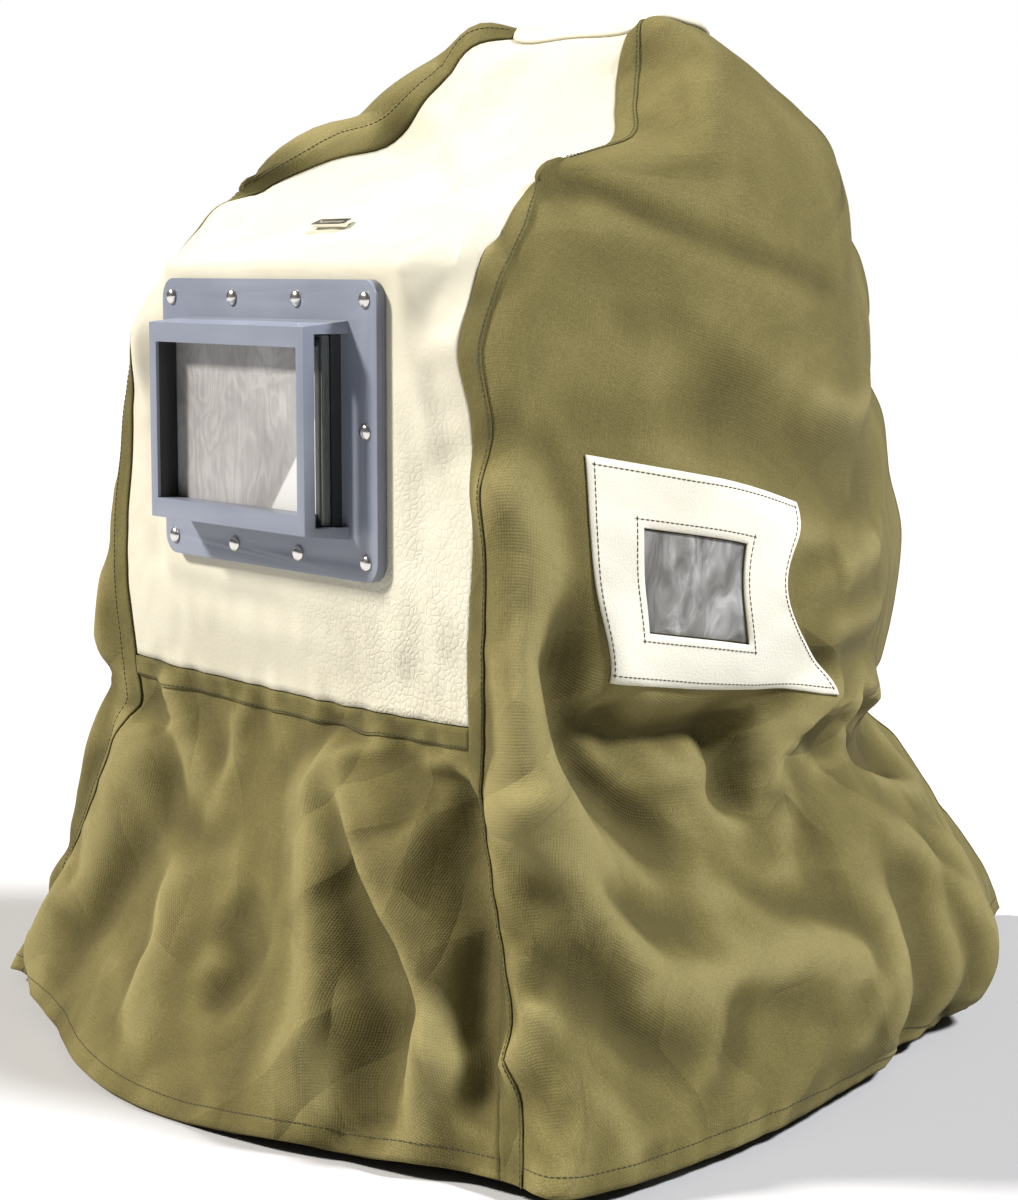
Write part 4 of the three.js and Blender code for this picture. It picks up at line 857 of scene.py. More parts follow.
# Clear PVC sheet, gone grey and wavy where it is sewn in: glossy, with bent reflections, and paler in tone on
# the ripples' crests as painted highlights.
def clearSheet():
    material, tree, shader = newMaterial("clear_pvc_sheet")
    place = addNode(tree, "ShaderNodeTexCoord").outputs["UV"]
    waveMap = addNode(tree, "ShaderNodeMapping", Vector=place, Rotation=(0, 0, 0.5),
                      Scale=(1000 / 12, 1000 / 26, 1))
    waves = addNode(tree, "ShaderNodeTexNoise", Vector=waveMap, Scale=1.0, Detail=4.0, Distortion=1.0)
    # painted highlight: the ramp turns pale where the ripple noise is high, on the ripples' crests
    tone = setRamp(addNode(tree, "ShaderNodeValToRGB", i0=waves.outputs["Fac"]),
                   [(0.35, linear("6b6a66")), (0.52, linear("8d8c88")), (0.7, linear("bdbdbb"))])
    bump = addNode(tree, "ShaderNodeBump", Height=waves.outputs["Fac"], Strength=0.6, Distance=0.003)
    feed(tree, shader, Base_Color=tone, Normal=bump, Roughness=0.16, Transmission_Weight=0.3, IOR=1.53)
    return material


# Nickel-plated steel: bright, slightly hazy from handling.
def platedSteel():
    material, tree, shader = newMaterial("nickel_plated_steel")
    place = addNode(tree, "ShaderNodeTexCoord").outputs["Object"]
    haze = addNode(tree, "ShaderNodeTexNoise", Vector=place, Scale=1000 / 2.5, Detail=4.0)
    rough = addNode(tree, "ShaderNodeMapRange", Value=haze.outputs["Fac"], To_Min=0.12, To_Max=0.34)
    feed(tree, shader, Roughness=rough, Base_Color=linear("dcdad5"), Metallic=1.0)
    return material


# Spun cotton thread, dyed dark: matt, and a little uneven in tone with its fluff.
def cottonThread(name, colour):
    material, tree, shader = newMaterial(name)
    place = addNode(tree, "ShaderNodeTexCoord").outputs["Object"]
    fluff = addNode(tree, "ShaderNodeTexNoise", Vector=place, Scale=1000 / 0.7, Detail=2.0)
    tone = setRamp(addNode(tree, "ShaderNodeValToRGB", i0=fluff.outputs["Fac"]),
                   [(0.3, [c * 0.6 for c in linear(colour)[:3]] + [1]), (0.75, linear(colour))])
    feed(tree, shader, Base_Color=tone, Roughness=0.85)
    return material


greyAbs = mouldedPlastic()
floatGlass = windowGlass()
lensFilm = greyFilm()
pvcSheet = clearSheet()
nickelSteel = platedSteel()
oliveThread = cottonThread("dark_olive_cotton_thread", "3d3820")
print("materials made")


# Makes an object of points in millimetres.
def meshObject(name, points, faces, material, uvs=None, wornAndLit=None):
    mesh = bpy.data.meshes.new(name)
    mesh.from_pydata((np.asarray(points) / 1000).tolist(), [], faces)
    mesh.materials.append(material)
    mesh.polygons.foreach_set("use_smooth", [True] * len(mesh.polygons))
    if uvs is not None:
        layer = mesh.uv_layers.new(name="cloth")
        layer.data.foreach_set("uv", (np.asarray(uvs) / 1000).ravel())
    # the crest attribute carries wear with painted light and shade to the cloth's colour
    if wornAndLit is not None:
        attribute = mesh.attributes.new("crest", "FLOAT", "POINT")
        attribute.data.foreach_set("value", np.asarray(wornAndLit, float))
    mesh.update()
    piece = bpy.data.objects.new(name, mesh)
    bpy.context.collection.objects.link(piece)
    return piece


# One closed sheet over the chosen cells, from low to high above the skin, with rounded edges.
def sewnSheet(name, cells, low, high, material, points=skinPoints, normals=skinNormals, pole=None,
              across=acrossCloth, down=downCloth, wornAndLit=crest):
    rows, columns = cells.shape
    chosen = np.zeros((rows + 2, columns + 2), bool)
    chosen[1:-1, 1:-1] = cells
    chosen[:, 0], chosen[:, -1] = chosen[:, -2], chosen[:, 1]
    centres = (points[:-1, :-1] + points[1:, :-1] + points[1:, 1:] + points[:-1, 1:]) / 4
    padded = np.zeros((rows + 2, columns + 2, 3))
    padded[1:-1, 1:-1] = centres
    padded[:, 0], padded[:, -1] = padded[:, -2], padded[:, 1]
    if pole is not None:
        chosen[0] = True
        padded[0] = pole
    first, last = slice(0, -1), slice(1, None)
    corner = [(first, first), (first, last), (last, first), (last, last)]
    count = sum(chosen[c].astype(int) for c in corner)
    toward = sum(padded[c] * chosen[c][..., None] for c in corner) / np.maximum(count, 1)[..., None] - points
    used = (count > 0)[:, :-1]
    edge = (count > 0) & (count < 4)
    reach = np.where(count == 2, 1.0, 1.5)[..., None]
    inset = unit(toward) * reach * edge[..., None]
    number = -np.ones((rows + 1, columns + 1), int)
    number[:, :-1][used] = np.arange(used.sum())
    number[:, -1] = number[:, 0]
    rim = np.argwhere(edge[:, :-1])
    rimNumber = -np.ones((rows + 1, columns + 1), int)
    total = used.sum()
    rimNumber[rim[:, 0], rim[:, 1]] = np.arange(len(rim)) + 2 * total
    rimNumber[:, -1] = rimNumber[:, 0]
    rounding = skin["edgeRound"]
    gap = skin["edgeGap"]
    flat = (points + inset * (gap + rounding))[:, :-1][used]
    out = normals[:, :-1][used]
    rimPoints = (points + inset * gap + normals * (low + high) / 2)[rim[:, 0], rim[:, 1]]
    allPoints = [flat + out * high, flat + out * low, rimPoints]
    wornAndLitPoints = [wornAndLit[:, :-1][used]] * 2 + [wornAndLit[rim[:, 0], rim[:, 1]]]
    r, c = np.nonzero(cells)
    quad = np.stack([number[r, c], number[r + 1, c], number[r + 1, c + 1], number[r, c + 1]], 1)
    place = np.stack([across, down], -1)
    quadUv = np.stack([place[r, c], place[r + 1, c], place[r + 1, c + 1], place[r, c + 1]], 1)
    faces = quad.tolist() + (quad[:, ::-1] + total).tolist()
    uvs = [quadUv.reshape(-1, 2), quadUv[:, ::-1].reshape(-1, 2)]
    sides = [((0, 0), (1, 0), (1, 0)), ((1, 0), (1, 1), (2, 1)), ((1, 1), (0, 1), (1, 2)),
             ((0, 1), (0, 0), (0, 1))]
    for a, b, neighbour in sides:
        bare = ~chosen[r + neighbour[0], c + neighbour[1]]
        ra, ca, rb, cb = r[bare] + a[0], c[bare] + a[1], r[bare] + b[0], c[bare] + b[1]
        p, q = number[ra, ca], number[rb, cb]
        m, n = rimNumber[ra, ca], rimNumber[rb, cb]
        faces += np.stack([p, m, n, q], 1).tolist()
        faces += np.stack([m, p + total, q + total, n], 1).tolist()
        wallUv = np.stack([place[ra, ca], place[ra, ca], place[rb, cb], place[rb, cb]], 1).reshape(-1, 2)
        uvs += [wallUv, wallUv]
    if pole is not None:
        start = sum(len(p) for p in allPoints)
        allPoints.append(np.array([pole + np.array([0, 0, high]), pole + np.array([0, 0, low])]))
        wornAndLitPoints.append(np.zeros(2))
        ring = np.stack([number[0, :-1], number[0, 1:]], 1)
        faces += [[start, a, b] for a, b in ring.tolist()]
        faces += [[start + 1, b + total, a + total] for a, b in ring.tolist()]
        fan = np.stack([place[0, :-1] * [1, 0], place[0, :-1], place[0, 1:]], 1).reshape(-1, 2)
        uvs += [fan, fan[::-1]]
    return meshObject(name, np.concatenate(allPoints), faces, material, np.concatenate(uvs),
                      np.concatenate(wornAndLitPoints))


def lineOf(table, value):
    return int(np.abs(table - value).argmin())


rowCells = np.arange(len(gridLevels) - 1)[:, None]
columnCells = np.arange(len(gridTurns) - 1)[None, :]


def between(top, bottom):
    return (rowCells >= lineOf(gridLevels, top)) & (rowCells < lineOf(gridLevels, bottom))


def spanning(start, stop):
    return (columnCells >= lineOf(gridTurns, start)) & (columnCells < lineOf(gridTurns, stop))


def sideSpan(sign, start, stop):
    return spanning(start, stop) if sign > 0 else spanning(-stop, -start)


# Offsets from the skin in millimetres. Panels hang inside it, strips and patches lie on it.
cloth = {
    "leather": 2.0,
    "canvas": 1.5,
    "strip": 0.9,
    "patch": 1.2,
    "clear": 1.0,
    "gap": 0.15,
}
front = spanning(-seamAt["stripTurns"][0], seamAt["stripTurns"][0])
holeTop, holeBottom, holeTurn = seamAt["frameHole"]
frameHole = between(holeTop, holeBottom) & spanning(-holeTurn, holeTurn)
clearTop, clearBottom, clearFront, clearRear = seamAt["clear"]
patchTop, patchBottom, patchFront, patchRear = seamAt["patch"]
seamTurn, stripTurn = seamAt["stripTurns"]
faceBottom, bibStripBottom = seamAt["bibStrip"]
hemBandTop, hem = seamAt["hemBand"]
stripSpan = between(seamAt["stripTop"], hem)
stripHeights = cloth["gap"], cloth["gap"] + cloth["strip"]
pieces = {}
pieces["facePanel"] = sewnSheet("facePanel", front & between(0, faceBottom) & ~frameHole,
                                -cloth["leather"], 0, creamLeather)
pieces["bibPanel"] = sewnSheet("bibPanel", front & between(faceBottom, hem), -cloth["canvas"], 0, canvasDuck)
pieces["bibStrip"] = sewnSheet("bibStrip", front & between(faceBottom, bibStripBottom), *stripHeights,
                               stripDuck)
for side, sign in (("Left", 1), ("Right", -1)):
    clear = between(clearTop, clearBottom) & sideSpan(sign, clearFront, clearRear)
    patch = between(patchTop, patchBottom) & sideSpan(sign, patchFront, patchRear)
    panel = between(0, hem) & sideSpan(sign, seamTurn, 4)
    strip = stripSpan & sideSpan(sign, seamTurn, stripTurn)
    pieces["sidePanel" + side] = sewnSheet("sidePanel" + side, panel & ~clear, -cloth["canvas"], 0,
                                           canvasDuck)
    pieces["frontStrip" + side] = sewnSheet("frontStrip" + side, strip, *stripHeights, stripDuck)
    pieces["sidePatch" + side] = sewnSheet("sidePatch" + side, patch & ~clear,
                                           cloth["gap"], cloth["gap"] + cloth["patch"], patchLeather)
    pieces["sideWindow" + side] = sewnSheet("sideWindow" + side, clear, -cloth["clear"], 0, pvcSheet)
pieces["backStrip"] = sewnSheet("backStrip", spanning(-4, -seamAt["backStripTurn"]) & stripSpan,
                                *stripHeights, stripDuck)
# the hem is turned up inside, so its band lies behind the canvas
hemFront = -cloth["canvas"] - cloth["gap"]
pieces["hemBand"] = sewnSheet("hemBand", between(hemBandTop, hem) & spanning(-4, 4),
                              hemFront - cloth["strip"], hemFront, stripDuck)

# The crown's leather cap closes the top. It has a grid of its own, with fewer columns and rings.
crown = {"columns": 5, "rings": [0.12, 0.28, 0.44, 0.6, 0.74, 0.87], "rise": 0.9}
crownCentre = np.array([0, 0, -cloth["gap"]])
crownColumns = slice(None, None, crown["columns"])
edgeRow = skinPoints[0, crownColumns]
ringRows = []
for share in crown["rings"]:
    ring = crownCentre + (edgeRow - crownCentre) * share
    ring[:, 2] += (crownCentre[2] - edgeRow[:, 2]) * share * (1 - share) * crown["rise"]
    ringRows.append(ring)
crownSkirt = skinPoints[:lineOf(gridLevels, seamAt["stripTop"]) + 1, crownColumns]
crownPoints = np.concatenate([np.array(ringRows), crownSkirt])
crownNormals = gridNormals(crownPoints)
allCells = np.ones((len(crownPoints) - 1, crownPoints.shape[1] - 1), bool)
pieces["crownPiece"] = sewnSheet(
    "crownPiece", allCells, cloth["gap"], cloth["gap"] + cloth["leather"], creamLeather,
    crownPoints, crownNormals, crownCentre, crownPoints[..., 0], crownPoints[..., 1],
    np.zeros(crownPoints.shape[:2]))
print("soft pieces sewn:", len(pieces))


# A merged and bevelled copy of a hard CAD node.
def bevelledCopy(node, name, width, segments, material, angle=30):
    source = nodes[node]
    shape = bmesh.new()
    shape.from_mesh(source.data)
    bmesh.ops.remove_doubles(shape, verts=shape.verts, dist=0.00001)
    bmesh.ops.dissolve_limit(shape, angle_limit=math.radians(2), verts=shape.verts, edges=shape.edges)
    mesh = bpy.data.meshes.new(name + "Rough")
    shape.to_mesh(mesh)
    shape.free()
    rough = bpy.data.objects.new(name + "Rough", mesh)
    bpy.context.collection.objects.link(rough)
    bevel = rough.modifiers.new("edges", "BEVEL")
    bevel.width = width / 1000
    bevel.segments = segments
    bevel.limit_method = "ANGLE"
    bevel.angle_limit = math.radians(angle)
    bevel.harden_normals = False
    return settled(rough, name, material)


# The object's evaluated mesh as a plain object of its own.
def settled(rough, name, material):
    graph = bpy.context.evaluated_depsgraph_get()
    mesh = bpy.data.meshes.new_from_object(rough.evaluated_get(graph))
    bpy.data.objects.remove(rough)
    mesh.name = name
    mesh.materials.clear()
    mesh.materials.append(material)
    mesh.polygons.foreach_set("use_smooth", [True] * len(mesh.polygons))
    mesh.set_sharp_from_angle(angle=math.radians(40))
    piece = bpy.data.objects.new(name, mesh)
    bpy.context.collection.objects.link(piece)
    return piece


pieces["windowFrame"] = bevelledCopy("window_frame", "windowFrame", 1.2, 3, greyAbs)
pieces["foreheadEyelet"] = bevelledCopy("forehead_eyelet", "foreheadEyelet", 0.5, 2, nickelSteel)
middle = (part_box("forehead_eyelet")[0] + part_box("forehead_eyelet")[1]) / 2
for vertex in pieces["foreheadEyelet"].data.vertices:
    vertex.co.x = middle.x + (vertex.co.x - middle.x) * 0.9
    vertex.co.z = middle.z + (vertex.co.z - middle.z) * 0.8
pieces["lensPane"] = bevelledCopy("lens", "lensPane", 0.3, 2, floatGlass)
print("hard pieces dressed")

# The film lies on the front of the lens and slides with it.
film = {"thickness": 0.12, "clearance": 0.06, "margin": 1.0, "cells": (60, 40), "ripple": 0.05}
lensLow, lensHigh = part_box("lens")


def filmSheet():
    low = np.array(lensLow) * 1000
    high = np.array(lensHigh) * 1000
    xs = np.linspace(low[0] + film["margin"], high[0] - film["margin"], film["cells"][0])
    zs = np.linspace(high[2] - film["margin"], low[2] + film["margin"], film["cells"][1])
    grid = np.array([[[x, low[1] - film["clearance"], z] for x in xs] for z in zs])
    ripple = np.array([[noise.noise(Vector((x / 9, 0, z / 40))) for x in xs] for z in zs])
    grid[..., 1] -= film["ripple"] * (1 + ripple)
    back = grid.copy()
    front = grid.copy()
    front[..., 1] -= film["thickness"]
    rows, columns = ripple.shape
    number = np.arange(rows * columns).reshape(rows, columns)
    quad = np.stack([number[:-1, :-1], number[1:, :-1], number[1:, 1:], number[:-1, 1:]], -1).reshape(-1, 4)
    faces = quad.tolist() + (quad[:, ::-1] + rows * columns).tolist()
    loop = list(number[0, ::-1]) + list(number[1:, 0]) + list(number[-1, 1:]) + list(number[-2:0:-1, -1])
    for a, b in zip(loop, loop[1:] + loop[:1]):
        faces.append([int(a), int(a) + rows * columns, int(b) + rows * columns, int(b)])
    points = np.concatenate([front.reshape(-1, 3), back.reshape(-1, 3)])
    place = points[:, [0, 2]]
    uvs = np.concatenate([place[face] for face in faces])
    return meshObject("lensFilm", points, faces, lensFilm, uvs)


pieces["lensFilm"] = filmSheet()


# A point on the outside of the skin, lifted off it, and the way out there.
def onSkin(turn, level, lift):
    column = np.interp(turn, gridTurns, np.arange(len(gridTurns)))
    row = np.interp(level, gridLevels, np.arange(len(gridLevels)))
    c = np.minimum(column.astype(int), len(gridTurns) - 2)
    r = np.minimum(row.astype(int), len(gridLevels) - 2)
    a, b = (column - c)[:, None], (row - r)[:, None]

    def mixed(table):
        return ((table[r, c] * (1 - a) + table[r, c + 1] * a) * (1 - b)
                + (table[r + 1, c] * (1 - a) + table[r + 1, c + 1] * a) * b)
    out = unit(mixed(skinNormals))
    return mixed(skinPoints) + out * lift, out


# Running mean, so that a seam doesn't follow every small dent.
def evened(values, reach=12):
    if len(values) < 2 * reach:
        return values
    padded = np.pad(values, reach, mode="edge")
    return np.convolve(padded, np.ones(2 * reach + 1) / (2 * reach + 1), mode="valid")


# Moves a line on the skin sideways by millimetres: + turns away from the front, + levels down.
def shifted(turn, level, alongTurn=0.0, alongLevel=0.0):
    side = np.where(turn < 0, -1, 1)
    here = onSkin(turn, level, 0)[0]
    perTurn = np.maximum(np.linalg.norm(onSkin(turn - 0.03 * side, level, 0)[0] - here, axis=1) / 0.03, 45)
    perLevel = np.maximum(np.linalg.norm(onSkin(turn, level - 0.2, 0)[0] - here, axis=1) / 0.2, 12)
    return turn + side * alongTurn / evened(perTurn), level + alongLevel / evened(perLevel)


def straight(start, stop, count=160):
    return np.linspace(start[0], stop[0], count), np.linspace(start[1], stop[1], count)


stitching = {
    "spacing": 2.5,       # mm, like the lengths below
    "length": 2.2,
    "thickness": 0.5,
    "wander": 0.06,       # radians
    "stripEdge": 1.2,     # from the edge of what is sewn
    "patchEdge": 3.6,
    "backEdge": 2.5,
    "hemEdge": 8.0,
    "lift": 0.1,          # off the sheet below
    "hemLift": 0.12,
}
stripLift = cloth["gap"] + cloth["strip"] + stitching["lift"]
patchLift = cloth["gap"] + cloth["patch"] + stitching["lift"]
seamLines = []
for sign in (1, -1):
    turn, level = shifted(np.full(420, stripTurn * sign), np.linspace(0.5, 18.95, 420),
                          -stitching["stripEdge"])
    seamLines.append((turn, level, stripLift))
    d = stitching["patchEdge"]
    # each ring: its corners, and which way along the turns and the levels the seam stands off them
    outer = [(patchFront, patchTop, 1, 1), (patchRear, patchTop, -1, 1),
             (patchRear, patchBottom, -1, -1), (patchFront, patchBottom, 1, -1)]
    inner = [(clearFront, clearTop, -1, -1), (clearRear, clearTop, 1, -1),
             (clearRear, clearBottom, 1, 1), (clearFront, clearBottom, -1, 1)]
    for ring in (outer, inner):
        spots = [shifted(np.array([t * sign]), np.array([l]), a * d, b * d) for t, l, a, b in ring + ring[:1]]
        spots = [(float(t[0]), float(l[0])) for t, l in spots]
        for start, stop in zip(spots, spots[1:]):
            seamLines.append((*straight(start, stop, 60), patchLift))
turn = np.linspace(-0.985, 0.985, 200)
bibLevel = shifted(turn, np.full(200, bibStripBottom), 0, -stitching["stripEdge"])[1]
seamLines.append((turn, bibLevel, stripLift))
around = np.linspace(-3.99, 3.99, 900)
hemLevel = shifted(around, np.full(900, 18.99), 0, -stitching["hemEdge"])[1]
seamLines.append((around, hemLevel, stitching["hemLift"]))
backDown = np.linspace(0.6, 18.95, 420)
turn, level = shifted(np.full(420, -3.99), backDown, -stitching["backEdge"])
seamLines.append((turn, level, stripLift))


# Stitches: a short fat bead of thread at each step of a seam line, lying along it.
def stitchTree():
    tree = bpy.data.node_groups.new("stitchesAlongSeams", "GeometryNodeTree")
    face = tree.interface
    face.new_socket("Geometry", in_out="INPUT", socket_type="NodeSocketGeometry")
    for label, start in (("Spacing", 0.0033), ("Length", 0.0027), ("Thickness", 0.0006), ("Wander", 0.06)):
        face.new_socket(label, in_out="INPUT", socket_type="NodeSocketFloat").default_value = start
    face.new_socket("Seed", in_out="INPUT", socket_type="NodeSocketInt").default_value = 4
    face.new_socket("Thread", in_out="INPUT", socket_type="NodeSocketMaterial")
    face.new_socket("Geometry", in_out="OUTPUT", socket_type="NodeSocketGeometry")
    given = addNode(tree, "NodeGroupInput").outputs
    curve = addNode(tree, "GeometryNodeMeshToCurve", Mesh=given["Geometry"])
    even = addNode(tree, "GeometryNodeResampleCurve", {"mode": "LENGTH"}, Curve=curve,
                   Length=given["Spacing"])
    bead = addNode(tree, "GeometryNodeMeshUVSphere", Segments=6, Rings=5, Radius=0.5)
    size = addNode(tree, "ShaderNodeCombineXYZ", X=given["Length"], Y=given["Thickness"],
                   Z=given["Thickness"])
    stitch = addNode(tree, "GeometryNodeTransform", Geometry=bead, Rotation=(0, math.pi / 2, 0))
    stitchLong = addNode(tree, "GeometryNodeTransform", Geometry=stitch, Scale=size)
    tangent = addNode(tree, "GeometryNodeInputTangent")
    out = addNode(tree, "GeometryNodeInputNamedAttribute", {"data_type": "FLOAT_VECTOR"}, Name="seamOut")
    along = addNode(tree, "FunctionNodeAlignRotationToVector", {"axis": "X"}, Vector=tangent)
    upright = addNode(tree, "FunctionNodeAlignRotationToVector", {"axis": "Z", "pivot_axis": "X"},
                      Rotation=along, Vector=out)
    low = addNode(tree, "ShaderNodeMath", {"operation": "MULTIPLY"}, i0=given["Wander"], i1=-1.0)
    sway = addNode(tree, "FunctionNodeRandomValue", {"data_type": "FLOAT"})
    tree.links.new(low.outputs[0], sway.inputs[2])
    tree.links.new(given["Wander"], sway.inputs[3])
    tree.links.new(given["Seed"], sway.inputs["Seed"])
    swayTurn = addNode(tree, "ShaderNodeCombineXYZ", Z=sway.outputs[1])
    swayed = addNode(tree, "FunctionNodeRotateRotation", {"rotation_space": "LOCAL"}, i0=upright, i1=swayTurn)
    placed = addNode(tree, "GeometryNodeInstanceOnPoints", Points=even, Instance=stitchLong, Rotation=swayed)
    real = addNode(tree, "GeometryNodeRealizeInstances", Geometry=placed)
    coloured = addNode(tree, "GeometryNodeSetMaterial", Geometry=real, Material=given["Thread"])
    addNode(tree, "NodeGroupOutput", Geometry=coloured)
    return tree


# Sets a modifier's inputs by the identifier of the socket with that name.
def setInputs(modifier, values):
    for item in modifier.node_group.interface.items_tree:
        if item.in_out == "INPUT" and item.name in values:
            modifier[item.identifier] = values[item.name]


def sewSeams(name, lines, thread):
    points, outs, edges = [], [], []
    for turn, level, lift in lines:
        spots, out = onSkin(np.asarray(turn, float), np.asarray(level, float), lift)
        first = sum(len(p) for p in points)
        points.append(spots)
        outs.append(out)
        edges += [(first + i, first + i + 1) for i in range(len(spots) - 1)]
    mesh = bpy.data.meshes.new(name)
    mesh.from_pydata((np.concatenate(points) / 1000).tolist(), edges, [])
    attribute = mesh.attributes.new("seamOut", "FLOAT_VECTOR", "POINT")
    attribute.data.foreach_set("vector", np.concatenate(outs).ravel())
    guide = bpy.data.objects.new(name + "Guide", mesh)
    bpy.context.collection.objects.link(guide)
    modifier = guide.modifiers.new("stitches", "NODES")
    modifier.node_group = seamStitches
    setInputs(modifier, {"Spacing": stitching["spacing"] / 1000, "Length": stitching["length"] / 1000,
                         "Thickness": stitching["thickness"] / 1000, "Wander": stitching["wander"],
                         "Seed": 4, "Thread": thread})
    return settled(guide, name, thread)


seamStitches = stitchTree()
pieces["oliveStitches"] = sewSeams("oliveStitches", seamLines, oliveThread)
print("seams stitched:", len(pieces["oliveStitches"].data.polygons), "faces")

# Rivets: domed heads on the window frame's flange, one on each CAD rivet.
rivet = {"radius": 3.6, "height": 2.0, "sides": 32, "tilt": 0.05, "count": 10}


def rivetHead():
    profile = [(0.0, rivet["height"])]
    for angle in (75, 60, 45, 30, 15, 5):
        a = math.radians(angle)
        profile.append((rivet["radius"] * math.cos(a), 0.25 + (rivet["height"] - 0.25) * math.sin(a)))
    profile += [(rivet["radius"] * 1.0, 0.15), (rivet["radius"] * 0.97, 0.0), (0.0, 0.0)]
    points, faces = [(0, 0, profile[0][1])], []
    sides = rivet["sides"]
    for r, z in profile[1:-1]:
        angles = [2 * math.pi * i / sides for i in range(sides)]
        points += [(r * math.cos(a), r * math.sin(a), z) for a in angles]
    rings = len(profile) - 2
    for i in range(sides):
        j = (i + 1) % sides
        faces.append([0, 1 + i, 1 + j])
        for k in range(rings - 1):
            a, b = 1 + k * sides, 1 + (k + 1) * sides
            faces.append([a + i, b + i, b + j, a + j])
    faces.append([1 + (rings - 1) * sides + i for i in range(sides)][::-1])
    return meshObject("rivetHead", points, faces, nickelSteel)


def rivetTree(head):
    tree = bpy.data.node_groups.new("rivetsOnFlange", "GeometryNodeTree")
    face = tree.interface
    face.new_socket("Geometry", in_out="INPUT", socket_type="NodeSocketGeometry")
    face.new_socket("Tilt", in_out="INPUT", socket_type="NodeSocketFloat").default_value = 0.05
    face.new_socket("Seed", in_out="INPUT", socket_type="NodeSocketInt").default_value = 2
    face.new_socket("Metal", in_out="INPUT", socket_type="NodeSocketMaterial")
    face.new_socket("Geometry", in_out="OUTPUT", socket_type="NodeSocketGeometry")
    given = addNode(tree, "NodeGroupInput").outputs
    shape = addNode(tree, "GeometryNodeObjectInfo", {"transform_space": "ORIGINAL"}, Object=head)
    low = addNode(tree, "ShaderNodeMath", {"operation": "MULTIPLY"}, i0=given["Tilt"], i1=-1.0)
    lowAll = addNode(tree, "ShaderNodeCombineXYZ", X=low, Y=low, Z=low)
    highAll = addNode(tree, "ShaderNodeCombineXYZ", X=given["Tilt"], Y=given["Tilt"], Z=given["Tilt"])
    lean = addNode(tree, "FunctionNodeRandomValue", {"data_type": "FLOAT_VECTOR"}, i0=lowAll, i1=highAll,
                   Seed=given["Seed"])
    facing = addNode(tree, "ShaderNodeVectorMath", {"operation": "ADD"}, i0=lean, i1=(math.pi / 2, 0, 0))
    placed = addNode(tree, "GeometryNodeInstanceOnPoints", Points=given["Geometry"],
                     Instance=shape.outputs["Geometry"], Rotation=facing)
    real = addNode(tree, "GeometryNodeRealizeInstances", Geometry=placed)
    coloured = addNode(tree, "GeometryNodeSetMaterial", Geometry=real, Material=given["Metal"])
    addNode(tree, "NodeGroupOutput", Geometry=coloured)
    return tree


def setRivets():
    head = rivetHead()
    spots = []
    for number in range(1, rivet["count"] + 1):
        low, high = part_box("rivet_%02d" % number)
        spots.append(((low.x + high.x) / 2, low.y + (rivet["height"] + 0.3) / 1000, (low.z + high.z) / 2))
    mesh = bpy.data.meshes.new("rivetSpots")
    mesh.from_pydata(spots, [], [])
    guide = bpy.data.objects.new("rivetSpots", mesh)
    bpy.context.collection.objects.link(guide)
    modifier = guide.modifiers.new("rivets", "NODES")
    modifier.node_group = rivetTree(head)
    setInputs(modifier, {"Tilt": rivet["tilt"], "Seed": 2, "Metal": nickelSteel})
    made = settled(guide, "frameRivets", nickelSteel)
    bpy.data.objects.remove(head)
    return made


pieces["frameRivets"] = setRivets()
print("rivets set")

# Camera, lights and floor.
studio = {
    "cameraPlace": (0.9971, -0.8514, -0.1155),
    "cameraTurn": (82.9, 0, 52),
    "focalLength": 81,
    "worldLight": 0.1,
    "key": (-40, 38, 6.4, 9, "fffaf4"),      # azimuth, elevation, strength, spread, colour
    "fill": (120, 48, 5.6, 10, "fbfbff"),
    "floorDrop": 0.0005,
}
camera = bpy.data.objects.new("camera", bpy.data.cameras.new("camera"))
camera.location = studio["cameraPlace"]
camera.rotation_euler = [math.radians(a) for a in studio["cameraTurn"]]
camera.data.lens = studio["focalLength"]
camera.data.sensor_width = 36
bpy.context.collection.objects.link(camera)
bpy.context.scene.camera = camera


# A far soft light: azimuth 0 stands in front of the window, 90 on the wearer's left.
def softLight(name, azimuth, elevation, strength, spread, colour):
    light = bpy.data.lights.new(name, "SUN")
    light.energy = strength
    light.angle = math.radians(spread)
    light.color = linear(colour)[:3]
    lamp = bpy.data.objects.new(name, light)
    a, e = math.radians(azimuth), math.radians(elevation)
    toward = Vector((math.sin(a) * math.cos(e), -math.cos(a) * math.cos(e), math.sin(e)))
    lamp.rotation_euler = toward.to_track_quat("Z", "Y").to_euler()
    lamp.location = toward * 2
    bpy.context.collection.objects.link(lamp)


softLight("keyLight", *studio["key"])
softLight("fillLight", *studio["fill"])

world = bpy.data.worlds.new("studioWhite")
world.use_nodes = True
sky = world.node_tree
background = sky.nodes["Background"]
seen = addNode(sky, "ShaderNodeLightPath")
power = addNode(sky, "ShaderNodeMapRange", Value=seen.outputs["Is Camera Ray"],
                To_Min=studio["worldLight"], To_Max=1.0)
feed(sky, background, Color=(1, 1, 1, 1), Strength=power)
bpy.context.scene.world = world
bpy.context.scene.view_settings.view_transform = "Standard"


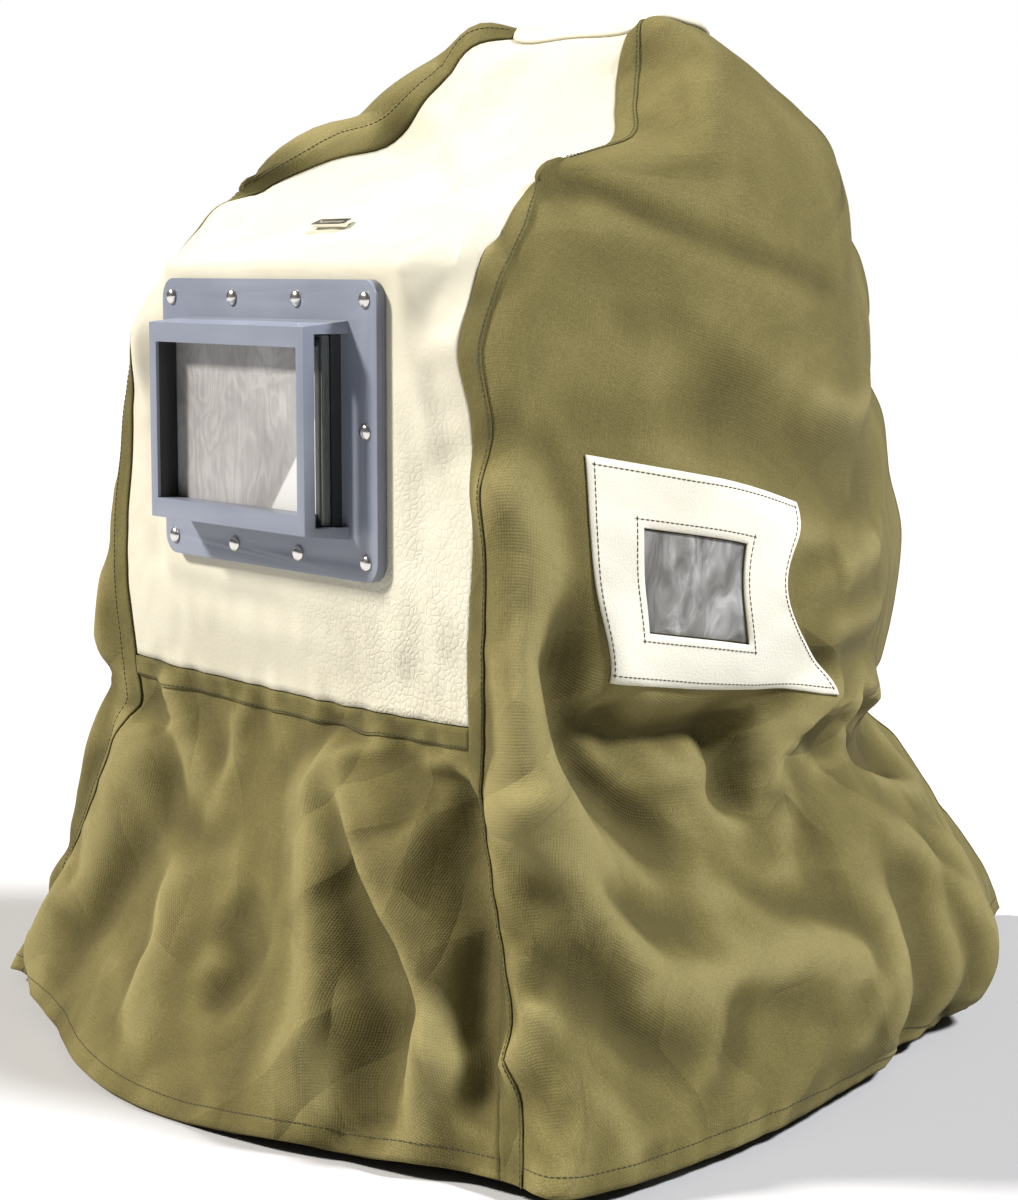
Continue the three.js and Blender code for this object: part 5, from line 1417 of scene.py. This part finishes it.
# Matt white studio paper.
def studioPaper():
    material, tree, shader = newMaterial("white_studio_paper")
    place = addNode(tree, "ShaderNodeTexCoord").outputs["Object"]
    grain = addNode(tree, "ShaderNodeTexNoise", Vector=place, Scale=1000 / 3, Detail=2.0)
    bump = addNode(tree, "ShaderNodeBump", Height=grain.outputs["Fac"], Strength=0.05, Distance=0.0002)
    feed(tree, shader, Normal=bump, Base_Color=linear("b2b2b2"), Roughness=0.9)
    return material


floorMesh = bpy.data.meshes.new("floor")
floorLevel = cadBox[0][2] - studio["floorDrop"]
floorReach = 6
floorCorners = [(x * floorReach, y * floorReach, floorLevel) for x, y in ((-1, -1), (1, -1), (1, 1), (-1, 1))]
floorMesh.from_pydata(floorCorners, [], [(0, 1, 2, 3)])
floorMesh.materials.append(studioPaper())
floor = bpy.data.objects.new("floor", floorMesh)
bpy.context.collection.objects.link(floor)

# Which CAD nodes each piece stands for and the material slot listed for it, which isn't applied here, and the
# body it rides on.
standsFor = {
    "facePanel": ("leather", ["face_panel"]),
    "bibPanel": ("canvas", ["bib_panel"]),
    "bibStrip": ("canvas_strip", ["bib_strip"]),
    "sidePanelLeft": ("canvas", ["side_panel_left"]),
    "sidePanelRight": ("canvas", ["side_panel_right"]),
    "frontStripLeft": ("canvas_strip", ["front_strip_left"]),
    "frontStripRight": ("canvas_strip", ["front_strip_right"]),
    "sidePatchLeft": ("patch", ["side_patch_left"]),
    "sidePatchRight": ("patch", ["side_patch_right"]),
    "sideWindowLeft": ("clear_plastic", ["side_window_left"]),
    "sideWindowRight": ("clear_plastic", ["side_window_right"]),
    "backStrip": ("canvas_strip", ["back_strip"]),
    "hemBand": ("canvas_strip", ["hem_band"]),
    "crownPiece": ("leather", ["crown_piece"]),
    "windowFrame": ("grey_plastic", ["window_frame"]),
    "foreheadEyelet": ("bright_metal", ["forehead_eyelet"]),
    "frameRivets": ("bright_metal", ["rivet_%02d" % n for n in range(1, rivet["count"] + 1)]),
    "lensPane": ("glass", ["lens"]),
    "lensFilm": ("clear_plastic", []),
    "oliveStitches": ("canvas_strip", []),
}
for name, piece in pieces.items():
    slotName, stoodFor = standsFor[name]
    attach(piece, "lens" if name.startswith("lens") else "hood")
    if stoodFor:
        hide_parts(*stoodFor)

print("pieces:", len(pieces), "size noted")
